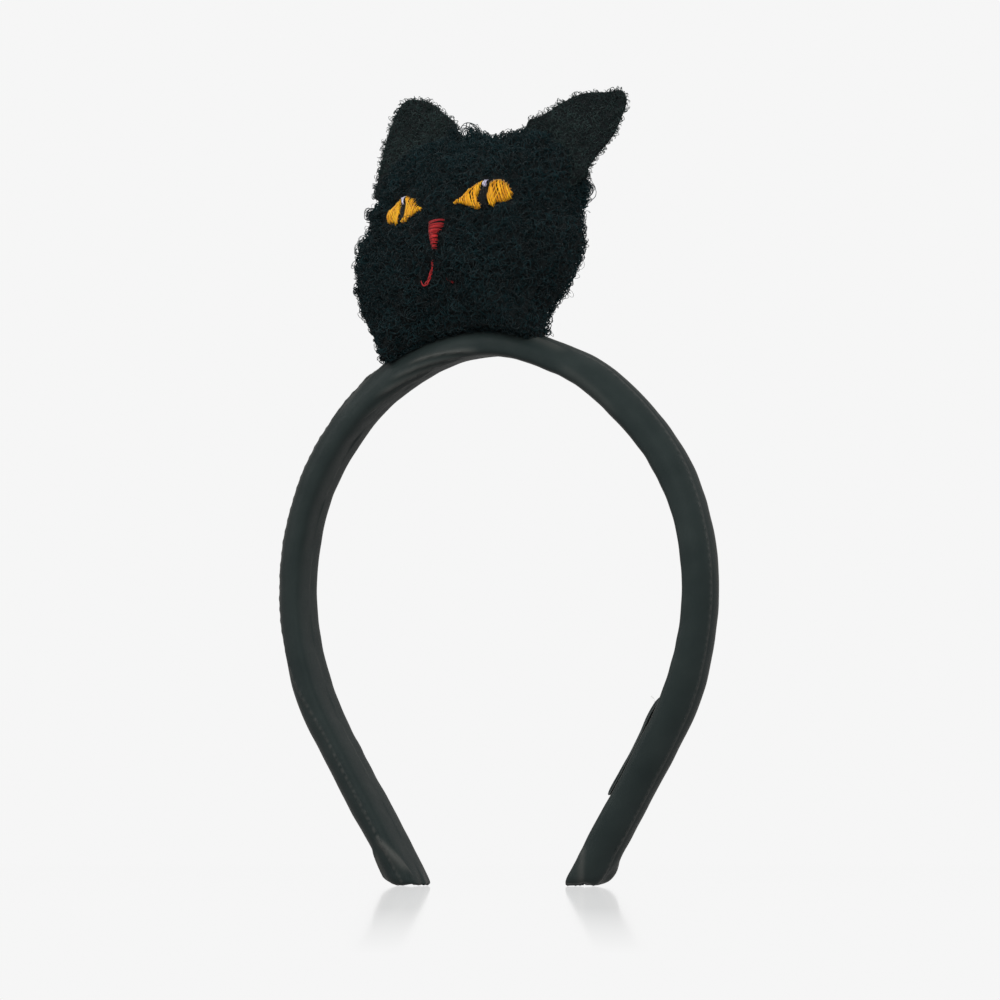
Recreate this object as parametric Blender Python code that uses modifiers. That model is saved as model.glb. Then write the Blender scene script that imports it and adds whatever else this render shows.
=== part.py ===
"""Animal ears headband: a padded, satin covered headband with a stuffed curly cat head on its crown.

Metres, +Z up. The band stands on its two feet on z = 0 and arches over X, the cat looks along -Y,
and left and right are as seen from the front. A spring core, a foam layer and a sewn cover run
through the whole band. Each is divided at two flex lines, the hinges where the arms spring outwards.
"""

import math

import bmesh
import bpy
from mathutils import Matrix, Vector

MM = 0.001
GAP = 0.3 * MM
CLOSE = 0.0001

# Arch: the reference line of the band is a crown arc, then two side arcs, then two straight legs.
CROWN_RADIUS = 59.0 * MM
CROWN_SWEEP = math.radians(54.0)
SIDE_RADIUS = 76.0 * MM
LEG_TURN = math.radians(120.0)
CROWN_HEIGHT = 151.6 * MM
BAND_Y = -8.74 * MM

# Section of the band: a D with a domed outer face and a flatter inner face.
BAND_WIDTH = 14.0 * MM
OUTER_RISE = 5.2 * MM
INNER_RISE = 3.0 * MM
INNER_POWER = 4.0
FOAM_TAPER = 0.94
COVER_WALL = 0.6 * MM
CORE_WIDTH = 8.6 * MM
CORE_THICKNESS = 1.4 * MM
SECTION_STEPS = 8

# Flex lines: the hinge axes lie in the outer face, and the pieces leave a slot for the inward squeeze.
FLEX_TURN = math.radians(44.0)
FLEX_SLOT = 1.3 * MM
CROWN_STEPS = 12
ARM_STEPS = 11

# Head: its plane leans back, turns a little to the left and rolls anticlockwise. u, v and d run
# across, up and out of that plane, from the middle of the head's lower edge.
HEAD_BASE = Vector((-9.3 * MM, -6.0 * MM, 155.5 * MM))
HEAD_TURN = math.radians(-6.0)
HEAD_LEAN = math.radians(22.0)
HEAD_ROLL = math.radians(9.0)
HEAD_MIDDLE = (0.0, 28.0 * MM)
FACE_BULGE = 16.0 * MM
BACK_BULGE = 16.0 * MM
PANEL_THICKNESS = 1.2 * MM
HEAD_SINK = 2.5 * MM
GLUE_THICKNESS = 0.6 * MM
CHEEK_OUTLINE = [
    (24.5, -4.5), (28, 5), (31, 13), (32.8, 21), (32.8, 28), (31, 36),
    (30, 43), (28.5, 50), (24, 56.5), (14, 60), (0, 60.5),
]
CHEEK_STEPS = 32
CHIN_STEPS = 8
HEAD_RINGS = 12
HOLLOW_SCALE = 0.96
STUFFING_SCALE = 0.92
SEAT_TURNS = (-1.2, 0.9)
SEAT_STEPS = 21

# Ears: outline points from the outer base over the tip to the inner base.
EAR_THICKNESS = 1.2 * MM
EAR_STEPS = 16
EAR_BASE_SCALE = 1.035
LEFT_EAR = [
    (-30.2, 47), (-30.4, 57), (-30.6, 64), (-29.9, 72), (-28.4, 77.6), (-26, 79.3),
    (-22.3, 78.3), (-17, 75.4), (-11.8, 70.6), (-7.5, 66.5), (-5.5, 62.5),
]
RIGHT_EAR = [
    (32.5, 39.5), (36.8, 43), (40.2, 48.5), (44.2, 53.2), (46.4, 58.5), (47.4, 63.5), (45.6, 66.8),
    (41.3, 66.9), (36.5, 67.5), (32, 67.1), (28, 65.4), (23.8, 63), (19.5, 61.8),
]
LEFT_EAR_LEAN = math.radians(14.0)
RIGHT_EAR_LEAN = math.radians(5.0)

# Embroidery
PATCH_THICKNESS = 0.5 * MM
EYE_LENGTH = 15.4 * MM
EYE_HEIGHT = 7.6 * MM
PUPIL_SIZE = (1.7 * MM, 7.4 * MM)
GLINT_SIZE = (1.2 * MM, 2.2 * MM)
GLINT_RISE = 2.8 * MM
LEFT_EYE = {"u": -12.9 * MM, "v": 34.0 * MM, "slant": math.radians(-12.0)}
RIGHT_EYE = {"u": 12.9 * MM, "v": 34.0 * MM, "slant": math.radians(12.0)}
NOSE_TOP = 27.8 * MM
NOSE_BOTTOM = 18.8 * MM
NOSE_MIDDLE = -0.4 * MM
NOSE_WIDTH = 5.0 * MM
MOUTH_ROUTE = [
    (-6.3, 11.4), (-5.7, 10.1), (-4.2, 10.9), (-2.6, 13.2), (-1.2, 16.2),
    (0.2, 13.2), (1.9, 10.9), (3.4, 10.0), (4.2, 11.2),
]
MOUTH_RADIUS = 0.5 * MM
MOUTH_STEPS = 18
PATCH_GRID = (8, 3)

# Trim
SEAM_RADIUS = 0.3 * MM
SEAM_ANGLE = math.radians(18.0)
SEAM_FRONT_ANGLE = math.radians(88.0)
SEAM_TWIST = (100.0 * MM, 148.0 * MM)
SEAM_END = 184.0 * MM
SEAM_STEPS = 16
LABEL_RUN = (135.5 * MM, 167.5 * MM)
LABEL_WIDTH = 9.0 * MM
LABEL_THICKNESS = 0.5 * MM
LABEL_LIFT = 0.9 * MM
LABEL_MARGIN = 1.0 * MM
LABEL_STEPS = 5
GLUE_TURNS = (math.radians(-31.0), math.radians(11.0))
GLUE_WIDTH = 7.0 * MM
GLUE_STEPS = 7

# Worked out from the dimensions above
CORE_TOP = -INNER_RISE + COVER_WALL + GAP + CORE_THICKNESS
CROWN_CENTRE_Z = CROWN_HEIGHT - CROWN_RADIUS
CROWN_RUN = CROWN_RADIUS * CROWN_SWEEP
SIDE_RUN = SIDE_RADIUS * (LEG_TURN - CROWN_SWEEP)
SIDE_CENTRE_X = (CROWN_RADIUS - SIDE_RADIUS) * math.sin(CROWN_SWEEP)
SIDE_CENTRE_Z = CROWN_CENTRE_Z + (CROWN_RADIUS - SIDE_RADIUS) * math.cos(CROWN_SWEEP)
FLEX_RUN = CROWN_RADIUS * FLEX_TURN
LEG_LENGTH = (SIDE_CENTRE_Z + SIDE_RADIUS * math.cos(LEG_TURN)) / math.sin(LEG_TURN)
FULL_RUN = CROWN_RUN + SIDE_RUN + LEG_LENGTH
FOOT_OVERRUN = 12.0 * MM

COLOURS = {
    "core": ((0.75, 0.76, 0.78), 0.35, 0.0),
    "foam": ((0.62, 0.60, 0.52), 0.95, 0.0),
    "satin": ((0.012, 0.014, 0.015), 0.38, 0.0),
    "thread": ((0.02, 0.022, 0.024), 0.6, 0.0),
    "label": ((0.03, 0.03, 0.032), 0.7, 0.0),
    "pale_thread": ((0.75, 0.74, 0.72), 0.7, 0.0),
    "glue": ((0.85, 0.82, 0.7), 0.45, 0.0),
    "pile": ((0.010, 0.012, 0.013), 0.95, 0.0),
    "filling": ((0.85, 0.85, 0.83), 0.95, 0.0),
    "amber": ((0.75, 0.38, 0.03), 0.5, 0.0),
    "pupil": ((0.008, 0.009, 0.01), 0.5, 0.0),
    "glint": ((0.65, 0.62, 0.75), 0.5, 0.0),
    "red": ((0.55, 0.03, 0.04), 0.5, 0.0),
}


# ---------------------------------------------------------------- scene and materials
def clear_scene():
    for obj in list(bpy.data.objects):
        bpy.data.objects.remove(obj)


def new_collection(name):
    collection = bpy.data.collections.new(name)
    bpy.context.scene.collection.children.link(collection)
    return collection


def new_material(name, kind):
    colour, roughness, metallic = COLOURS[kind]
    material = bpy.data.materials.new(name)
    material.use_nodes = True
    shader = material.node_tree.nodes["Principled BSDF"]
    shader.inputs["Base Color"].default_value = (*colour, 1.0)
    shader.inputs["Roughness"].default_value = roughness
    shader.inputs["Metallic"].default_value = metallic
    material.diffuse_color = (*colour, 1.0)
    return material


def add_part(name, mesh, kind, parent):
    """A named object with its own material, in world position, parented to an empty."""
    mesh.name = name
    part = bpy.data.objects.new(name, mesh)
    PARTS.objects.link(part)
    part.parent = parent
    part.matrix_parent_inverse = parent.matrix_world.inverted()
    mesh.materials.clear()
    mesh.materials.append(new_material(name, kind))
    return part


def add_empty(name, location):
    empty = bpy.data.objects.new(name, None)
    empty.empty_display_size = 10 * MM
    empty.location = location
    PARTS.objects.link(empty)
    bpy.context.view_layer.update()
    return empty


# ---------------------------------------------------------------- the arch
def spaced(start, stop, steps):
    """Evenly spaced values from start to stop, both included."""
    return [start + (stop - start) * step / steps for step in range(steps + 1)]


def arch_station(run):
    """Point (x, z) and outward turn of the reference line, at a signed distance from the crown."""
    side = math.copysign(1.0, run)
    run = abs(run)
    if run <= CROWN_RUN:
        turn = run / CROWN_RADIUS
        x = CROWN_RADIUS * math.sin(turn)
        z = CROWN_CENTRE_Z + CROWN_RADIUS * math.cos(turn)
    else:
        turn = min(CROWN_SWEEP + (run - CROWN_RUN) / SIDE_RADIUS, LEG_TURN)
        leg = max(run - CROWN_RUN - SIDE_RUN, 0.0)
        x = SIDE_CENTRE_X + SIDE_RADIUS * math.sin(turn) + leg * math.cos(turn)
        z = SIDE_CENTRE_Z + SIDE_RADIUS * math.cos(turn) - leg * math.sin(turn)
    return side * x, z, side * turn


def arch_point(run, out=0.0, y=0.0):
    """World point at a distance along the arch, a distance out of the reference line, and a depth."""
    x, z, turn = arch_station(run)
    return Vector((x + out * math.sin(turn), BAND_Y + y, z + out * math.cos(turn)))


def span_runs(name):
    """Distances along the arch where the rings of the crown or of one arm lie."""
    if name == "crown":
        return spaced(-FLEX_RUN + FLEX_SLOT / 2, FLEX_RUN - FLEX_SLOT / 2, CROWN_STEPS)
    arm = spaced(FLEX_RUN + FLEX_SLOT / 2, CROWN_RUN + SIDE_RUN, ARM_STEPS) + [FULL_RUN + FOOT_OVERRUN]
    return arm if name == "right_arm" else [-run for run in reversed(arm)]


def d_section(inset=0.0):
    """The band's D outline, moved in by inset: x points to the inner face, y across the band."""
    outline = []
    half_width = BAND_WIDTH / 2 - inset
    for step in range(2 * SECTION_STEPS):
        angle = math.pi * step / SECTION_STEPS
        across = math.sin(angle)
        inwards = -math.cos(angle)
        if inwards <= 0:
            outline.append((inwards * (OUTER_RISE - inset), half_width * across))
        else:
            across = math.copysign(abs(across) ** (2 / INNER_POWER), across)
            inwards = inwards ** (2 / INNER_POWER)
            outline.append((inwards * (INNER_RISE - inset), half_width * across))
    return outline


def box_section(out_low, out_high, width):
    """A strip's outline between two heights out of the reference line."""
    half = width / 2
    return [(-out_high, half), (-out_high, -half), (-out_low, -half), (-out_low, half)]


def foam_section():
    """The foam layer's outline: a dome over the core, inside the cover."""
    inset = COVER_WALL + GAP
    half_width = (BAND_WIDTH / 2 - inset) * FOAM_TAPER
    base = CORE_TOP + GAP
    rise = OUTER_RISE - inset - base
    outline = []
    for angle in spaced(0.0, math.pi, SECTION_STEPS):
        outline.append((-base - rise * math.sin(angle), -half_width * math.cos(angle)))
    return outline


def poly_curve(name, points, cyclic=False, dimensions="2D"):
    curve = bpy.data.curves.new(name, "CURVE")
    curve.dimensions = dimensions
    spline = curve.splines.new("POLY")
    spline.points.add(len(points) - 1)
    for target, point in zip(spline.points, points):
        target.co = (*point, 1.0) if len(point) == 3 else (*point, 0.0, 1.0)
    spline.use_cyclic_u = cyclic
    obj = bpy.data.objects.new(name, curve)
    GUIDES.objects.link(obj)
    return obj


def mesh_from(obj):
    """The evaluated shape of a curve object as a welded mesh in world position; the curve is removed."""
    bpy.context.view_layer.update()
    shape = obj.evaluated_get(bpy.context.evaluated_depsgraph_get())
    mesh = bpy.data.meshes.new_from_object(shape)
    mesh.transform(obj.matrix_world)
    bpy.data.objects.remove(obj)
    edit = bmesh.new()
    edit.from_mesh(mesh)
    bmesh.ops.remove_doubles(edit, verts=edit.verts, dist=0.01 * MM)
    bmesh.ops.recalc_face_normals(edit, faces=edit.faces)
    edit.to_mesh(mesh)
    edit.free()
    return mesh


def sweep_along_arch(runs, section):
    """A section swept along part of the arch, with closed ends."""
    profile = poly_curve("section", section, cyclic=True)
    path = poly_curve("path", [arch_station(run)[:2] for run in runs])
    path.data.bevel_mode = "OBJECT"
    path.data.bevel_object = profile
    path.data.use_fill_caps = True
    path.matrix_world = Matrix.Translation((0, BAND_Y, 0)) @ Matrix.Rotation(math.pi / 2, 4, "X")
    mesh = mesh_from(path)
    bpy.data.objects.remove(profile)
    return mesh


def trim_foot(mesh, height):
    """Slides the ring below the floor up the leg, so that the foot ends level at a height."""
    for vertex in mesh.vertices:
        if vertex.co.z < 0:
            rise = height - vertex.co.z
            vertex.co.x += math.copysign(rise * abs(math.cos(LEG_TURN)) / math.sin(LEG_TURN), vertex.co.x)
            vertex.co.z = height


def open_ends(mesh, runs):
    """Removes the end caps of a swept tube at the given distances along the arch."""
    edit = bmesh.new()
    edit.from_mesh(mesh)
    ends = [arch_point(run) for run in runs]
    caps = [face for face in edit.faces if len(face.verts) == 3]
    caps = [cap for cap in caps if any((cap.calc_center_median() - end).length < BAND_WIDTH for end in ends)]
    bmesh.ops.delete(edit, geom=caps, context="FACES_ONLY")
    edit.to_mesh(mesh)
    edit.free()


def add_solidify(part, thickness, offset=-1.0):
    shell = part.modifiers.new("wall", "SOLIDIFY")
    shell.thickness = thickness
    shell.offset = offset
    shell.use_even_offset = True
    return shell


def smooth(mesh, angle=40.0):
    mesh.shade_smooth()
    mesh.set_sharp_from_angle(angle=math.radians(angle))


# ---------------------------------------------------------------- the band
def build_band(name, parent):
    """Core, foam and cover of the crown or of one arm."""
    runs = span_runs(name)
    core = sweep_along_arch(runs, box_section(CORE_TOP - CORE_THICKNESS, CORE_TOP, CORE_WIDTH))
    foam = sweep_along_arch(runs, foam_section())
    cover = sweep_along_arch(runs, d_section())
    if name == "crown":
        open_ends(cover, [runs[0], runs[-1]])
    else:
        trim_foot(core, COVER_WALL + GAP)
        trim_foot(foam, COVER_WALL + GAP)
        trim_foot(cover, 0.0)
        open_ends(cover, [runs[0] if name == "right_arm" else runs[-1]])
    add_part("core_" + name, core, "core", parent)
    smooth(foam)
    add_part("foam_" + name, foam, "foam", parent)
    smooth(cover)
    add_solidify(add_part("cover_" + name, cover, "satin", parent), COVER_WALL)


def dome_height(y):
    """How far the cover's outer face lies out of the reference line, at a distance off its middle."""
    return OUTER_RISE * math.sqrt(1 - (2 * y / BAND_WIDTH) ** 2)


def add_thread(name, points, radius, kind, parent):
    """A thread through points, as a thin round tube with closed ends."""
    thread = poly_curve(name, points, dimensions="3D")
    thread.data.bevel_depth = radius
    thread.data.bevel_resolution = 1
    thread.data.use_fill_caps = True
    mesh = mesh_from(thread)
    smooth(mesh, 60.0)
    return add_part(name, mesh, kind, parent)


def seam_angle(side, run):
    """How far forwards round the domed face the seam lies. Low on the left arm it twists to the edge."""
    share = (run - SEAM_TWIST[0]) / (SEAM_TWIST[1] - SEAM_TWIST[0]) if side < 0 else 0.0
    share = min(max(share, 0.0), 1.0)
    return SEAM_ANGLE + (SEAM_FRONT_ANGLE - SEAM_ANGLE) * share**2 * (3 - 2 * share)


def build_seam(side, parent):
    """The closing seam's thread along the outer face of one arm."""
    lift = GAP + SEAM_RADIUS
    points = []
    for run in spaced(FLEX_RUN + FLEX_SLOT, SEAM_END, SEAM_STEPS):
        angle = seam_angle(side, run)
        out = (OUTER_RISE + lift) * math.cos(angle)
        points.append(arch_point(side * run, out, -(BAND_WIDTH / 2 + lift) * math.sin(angle)))
    add_thread("seam_thread_" + ("left" if side < 0 else "right"), points, SEAM_RADIUS, "thread", parent)


def build_label(parent):
    """The care label, a folded strip standing a little off the inner face of the right arm."""
    low = -INNER_RISE - LABEL_LIFT - LABEL_THICKNESS
    runs = spaced(*LABEL_RUN, LABEL_STEPS)
    strip = sweep_along_arch(runs, box_section(low, low + LABEL_THICKNESS, LABEL_WIDTH))
    add_part("care_label", strip, "label", parent)
    out = -INNER_RISE - LABEL_LIFT / 2
    half = LABEL_WIDTH / 2 - LABEL_MARGIN
    points = [arch_point(LABEL_RUN[0] + LABEL_MARGIN, out, y) for y in (-half, half)]
    add_thread("label_thread", points, LABEL_LIFT / 2 - GAP / 2, "pale_thread", parent)


def build_glue(parent):
    """The strip of hot glue between the crown and the head, bent over the cover's domed face."""
    profile = []
    for height, order in ((GAP, 1), (GAP + GLUE_THICKNESS, -1)):
        for step in spaced(-1, 1, 4)[::order]:
            y = step * GLUE_WIDTH / 2
            profile.append((-dome_height(y) - height, y))
    runs = [CROWN_RADIUS * turn for turn in spaced(*GLUE_TURNS, GLUE_STEPS)]
    add_part("glue_strip", sweep_along_arch(runs, profile), "glue", parent)


# ---------------------------------------------------------------- the head
def crown_top(x):
    """Height of the band's outer face above a place near the crown."""
    return CROWN_CENTRE_Z + math.sqrt((CROWN_RADIUS + OUTER_RISE) ** 2 - x**2)


def head_matrix():
    turn = Matrix.Rotation(HEAD_TURN, 4, "Z")
    lean = Matrix.Rotation(math.pi / 2 - HEAD_LEAN, 4, "X")
    roll = Matrix.Rotation(HEAD_ROLL, 4, "Z")
    return Matrix.Translation(HEAD_BASE + Vector((0, BAND_Y, 0))) @ turn @ lean @ roll


def smooth_points(points, steps):
    """Points spaced along a Catmull-Rom curve through the given ones."""
    ends = [points[0]] + list(points) + [points[-1]]
    result = []
    for place in spaced(0, len(points) - 1, steps):
        first = min(int(place), len(points) - 2)
        t = place - first
        before, start, stop, after = (Vector(point) for point in ends[first : first + 4])
        cubic = 3 * start - before - 3 * stop + after
        square = 2 * before - 5 * start + 4 * stop - after
        result.append(start + ((stop - before) * t + square * t**2 + cubic * t**3) / 2)
    return result


def head_outline():
    """The head's seam outline as (u, v), anticlockwise from the right corner of the chin."""
    right = [(u * MM, v * MM) for u, v in CHEEK_OUTLINE]
    left = [(-u, v) for u, v in reversed(right[:-1])]
    outline = smooth_points(right + left, CHEEK_STEPS)[1:-1]
    across = head_matrix().to_3x3() @ Vector((1, 0, 0))
    up = head_matrix().to_3x3() @ Vector((0, 1, 0))
    chin = []
    for u in spaced(left[-1][0], right[0][0], CHIN_STEPS):
        x = HEAD_BASE.x + u * across.x
        rise = crown_top(x) - HEAD_SINK - HEAD_BASE.z - u * across.z
        chin.append(Vector((u, rise / up.z)))
    return [chin[-1]] + outline + chin[:-1]


# The head's outline, and the place along it that the sphere's column pointing down is pressed to:
# the middle of the chin.
OUTLINE = head_outline()
FIRST_CORNER = len(OUTLINE) - CHIN_STEPS // 2


def rim_ratio(u, v):
    """How far (u, v) lies from the head's middle, as a share of the way to the outline."""
    middle = Vector(HEAD_MIDDLE)
    ray = Vector((u, v)) - middle
    if ray.length < GAP:
        return 0.0
    for start, stop in zip(OUTLINE, OUTLINE[1:] + OUTLINE[:1]):
        edge = stop - start
        turn = ray.x * edge.y - ray.y * edge.x
        if turn == 0.0:
            continue
        reach = ((start.x - middle.x) * edge.y - (start.y - middle.y) * edge.x) / turn
        along = ((start.x - middle.x) * ray.y - (start.y - middle.y) * ray.x) / turn
        if reach > 0 and -CLOSE <= along <= 1 + CLOSE:
            return 1 / reach
    return 1.0


def face_depth(ratio, bulge=FACE_BULGE):
    return bulge * (1 - min(ratio, 1.0) ** 2)


def back_depth(ratio, bulge=BACK_BULGE):
    return bulge * max(1 - ratio**3, 0.0) ** (1 / 3)


def pressed_sphere(front, back, scale=1.0):
    """A sphere pressed into the head's outline, bulging by two depth rules. None leaves a side flat."""
    edit = bmesh.new()
    bmesh.ops.create_uvsphere(edit, u_segments=len(OUTLINE), v_segments=HEAD_RINGS, radius=1.0)
    unwanted = []
    if front is None:
        unwanted = [vertex for vertex in edit.verts if vertex.co.z > CLOSE]
    if back is None:
        unwanted = [vertex for vertex in edit.verts if vertex.co.z < -CLOSE]
    bmesh.ops.delete(edit, geom=unwanted, context="VERTS")
    bmesh.ops.holes_fill(edit, edges=edit.edges)
    middle = Vector(HEAD_MIDDLE)
    for vertex in edit.verts:
        ratio = min(math.hypot(vertex.co.x, vertex.co.y), 1.0)
        angle = math.atan2(vertex.co.y, vertex.co.x) + math.pi / 2
        corner = OUTLINE[round(angle / (2 * math.pi) * len(OUTLINE) + FIRST_CORNER) % len(OUTLINE)]
        place = middle + (corner - middle) * ratio * scale
        if vertex.co.z > CLOSE:
            depth = front(ratio)
        elif vertex.co.z < -CLOSE:
            depth = -back(ratio)
        else:
            depth = 0.0
        vertex.co = (place.x, place.y, depth)
    mesh = bpy.data.meshes.new("head")
    edit.to_mesh(mesh)
    edit.free()
    mesh.transform(head_matrix())
    smooth(mesh, 60.0)
    return mesh


def cut_by(part, cutter):
    cut = part.modifiers.new(cutter.name, "BOOLEAN")
    cut.operation = "DIFFERENCE"
    cut.solver = "EXACT"
    cut.object = cutter


def add_cutter(name, mesh):
    cutter = bpy.data.objects.new(name, mesh)
    cutter.hide_render = True
    cutter.display_type = "WIRE"
    GUIDES.objects.link(cutter)
    return cutter


def build_seat_cutter():
    """The band's crown with the glue's thickness around it, where the head's underside is cut away."""
    inflate = -(GLUE_THICKNESS + 2 * GAP)
    runs = [CROWN_RADIUS * turn for turn in spaced(*SEAT_TURNS, SEAT_STEPS)]
    return add_cutter("seat_cutter", sweep_along_arch(runs, d_section(inflate)))


def inner_head(inset, scale):
    """The head's form, moved in from both panels."""
    return pressed_sphere(
        lambda ratio: face_depth(ratio, FACE_BULGE - inset),
        lambda ratio: back_depth(ratio, BACK_BULGE - inset),
        scale,
    )


def build_head(parent):
    """Face panel, back panel and stuffing, seated on the crown."""
    seat = build_seat_cutter()
    hollow = add_cutter("hollow_cutter", inner_head(PANEL_THICKNESS, HOLLOW_SCALE))
    face = add_part("face_panel", pressed_sphere(face_depth, None), "pile", parent)
    back = add_part("back_panel", pressed_sphere(None, back_depth), "pile", parent)
    outwards = head_matrix().to_3x3() @ Vector((0, 0, GAP / 2))
    face.data.transform(Matrix.Translation(outwards))
    back.data.transform(Matrix.Translation(-outwards))
    cut_by(face, hollow)
    cut_by(back, hollow)
    filling = inner_head(PANEL_THICKNESS + 2 * GAP, STUFFING_SCALE)
    stuffing = add_part("stuffing", filling, "filling", parent)
    for part in (face, back, stuffing):
        cut_by(part, seat)


def ear_outline(points):
    """An ear's outline: its own points, then back along the head's outline with a little clearance."""
    points = [Vector(point) * MM for point in points]
    middle = Vector(HEAD_MIDDLE)

    def polar(point):
        return math.atan2(point.y - middle.y, point.x - middle.x)

    low, high = sorted((polar(points[0]), polar(points[-1])))
    base = [middle + (corner - middle) * EAR_BASE_SCALE for corner in OUTLINE if low < polar(corner) < high]
    if polar(points[-1]) > polar(points[0]):
        base.reverse()
    return smooth_points(points, EAR_STEPS) + base


def build_ear(name, points, lean, parent):
    """Front and back layer of one ear, leaning back from the head's plane about its base."""
    outline = ear_outline(points)
    first = Vector((*points[0], 0)) * MM
    last = Vector((*points[-1], 0)) * MM
    axis = (last - first).normalized()
    tilt = Matrix.Rotation(lean if axis.x < 0 else -lean, 4, axis)
    place = head_matrix() @ Matrix.Translation(first) @ tilt @ Matrix.Translation(-first)
    for layer, side in (("front", 1), ("back", -1)):
        flat = poly_curve("ear", [tuple(point) for point in outline], cyclic=True)
        flat.data.fill_mode = "BOTH"
        flat.data.extrude = EAR_THICKNESS / 2
        shift = Matrix.Translation((0, 0, side * (EAR_THICKNESS + GAP) / 2))
        flat.matrix_world = place @ shift
        add_part(f"{name}_ear_{layer}", mesh_from(flat), "pile", parent)


# ---------------------------------------------------------------- embroidery
def build_patch(name, place, size, shape, lift, kind, parent):
    """A patch of stitches that follows the face: shape(along) gives the half height of a unit patch."""
    edit = bmesh.new()
    bmesh.ops.create_grid(edit, x_segments=PATCH_GRID[0], y_segments=PATCH_GRID[1], size=1.0)
    slant = Matrix.Rotation(place.get("slant", 0.0), 2)
    for vertex in edit.verts:
        along, up = vertex.co.x, vertex.co.y
        flat = slant @ Vector((along * size[0] / 2, up * shape(along) * size[1] / 2))
        u, v = place["u"] + flat.x, place["v"] + flat.y
        vertex.co = (u, v, face_depth(rim_ratio(u, v)) + GAP / 2 + lift)
    mesh = bpy.data.meshes.new(name)
    edit.to_mesh(mesh)
    edit.free()
    mesh.transform(head_matrix())
    add_solidify(add_part(name, mesh, kind, parent), PATCH_THICKNESS, 1.0)


def almond(along):
    """Half height of an eye along its length, -1 to 1, with a blunt corner at each end."""
    return 0.08 + 0.92 * (1 - along**2) ** 0.7


def oval(along):
    """Half width of a pupil or glint along its length, -1 to 1, with blunt ends."""
    return 0.15 + 0.85 * math.sqrt(1 - along**2)


def build_eye(side, place, parent):
    """Amber iris, black pupil and pale glint, one lifted over the other."""
    layer = PATCH_THICKNESS + GAP
    build_patch(side + "_eye_iris", place, (EYE_LENGTH, EYE_HEIGHT), almond, GAP, "amber", parent)
    slit = {"u": place["u"], "v": place["v"], "slant": place["slant"] / 2 + math.pi / 2}
    build_patch(side + "_eye_pupil", slit, PUPIL_SIZE[::-1], oval, GAP + layer, "pupil", parent)
    spot = {"u": place["u"], "v": place["v"] + GLINT_RISE}
    build_patch(side + "_eye_glint", spot, GLINT_SIZE, oval, GAP + 2 * layer, "glint", parent)


def nose_taper(along):
    """Half width of the nose from its bottom, along = -1, to its top, along = 1."""
    return 0.22 + 0.78 * max(along + 0.15, 0.0) ** 0.8


def build_nose_and_mouth(parent):
    upright = {"u": NOSE_MIDDLE, "v": (NOSE_TOP + NOSE_BOTTOM) / 2, "slant": math.pi / 2}
    build_patch("nose_patch", upright, (NOSE_TOP - NOSE_BOTTOM, NOSE_WIDTH), nose_taper, GAP, "red", parent)
    points = []
    for u, v in smooth_points([(u * MM, v * MM) for u, v in MOUTH_ROUTE], MOUTH_STEPS):
        out = face_depth(rim_ratio(u, v)) + 2 * GAP + MOUTH_RADIUS
        points.append(head_matrix() @ Vector((u, v, out)))
    add_thread("mouth_line", points, MOUTH_RADIUS, "red", parent)


# ---------------------------------------------------------------- assembly
def flex_point(side):
    """The flex line of one arm, in the band's outer face."""
    return arch_point(side * FLEX_RUN, OUTER_RISE)


def main():
    root = add_empty("crown_root", (0, BAND_Y, CROWN_HEIGHT))
    left_flex = add_empty("left_flex", flex_point(-1))
    right_flex = add_empty("right_flex", flex_point(1))
    build_band("crown", root)
    build_band("left_arm", left_flex)
    build_band("right_arm", right_flex)
    build_seam(-1, left_flex)
    build_seam(1, right_flex)
    build_label(right_flex)
    build_glue(root)
    build_head(root)
    build_ear("left", LEFT_EAR, LEFT_EAR_LEAN, root)
    build_ear("right", RIGHT_EAR, RIGHT_EAR_LEAN, root)
    build_eye("left", LEFT_EYE, root)
    build_eye("right", RIGHT_EYE, root)
    build_nose_and_mouth(root)


clear_scene()
PARTS = new_collection("animal_ears_headband")
GUIDES = new_collection("guides")
main()
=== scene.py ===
# Looks of the animal ears headband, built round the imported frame: a satin sleeve with its seams and
# drag folds, a curly bouclé cat head with short pile ears, satin stitch embroidery and a care label.
# Metres, +Z up. Left and right are as seen from the front, and the cat looks along -Y.

import math
from itertools import product

import bmesh
import bpy
import numpy as np
from mathutils.kdtree import KDTree
from mathutils import Matrix, Vector


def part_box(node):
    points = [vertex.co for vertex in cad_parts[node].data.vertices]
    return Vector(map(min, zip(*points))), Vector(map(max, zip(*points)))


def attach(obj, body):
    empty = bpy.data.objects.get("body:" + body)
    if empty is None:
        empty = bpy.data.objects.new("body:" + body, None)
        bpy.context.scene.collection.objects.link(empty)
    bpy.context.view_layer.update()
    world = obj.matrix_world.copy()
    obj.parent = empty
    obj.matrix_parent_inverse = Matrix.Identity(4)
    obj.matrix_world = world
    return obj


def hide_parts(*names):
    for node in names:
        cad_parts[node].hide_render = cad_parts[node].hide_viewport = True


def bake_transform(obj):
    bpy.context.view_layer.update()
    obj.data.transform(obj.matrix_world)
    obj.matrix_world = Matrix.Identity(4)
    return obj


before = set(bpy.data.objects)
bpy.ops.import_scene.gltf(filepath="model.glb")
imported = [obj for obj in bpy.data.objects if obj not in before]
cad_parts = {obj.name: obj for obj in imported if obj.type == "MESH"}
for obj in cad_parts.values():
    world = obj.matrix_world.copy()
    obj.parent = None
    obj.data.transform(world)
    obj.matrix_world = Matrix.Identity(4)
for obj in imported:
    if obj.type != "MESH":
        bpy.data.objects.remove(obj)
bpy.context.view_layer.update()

MM = 0.001
BODIES = ("crown", "left_arm", "right_arm")

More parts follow.
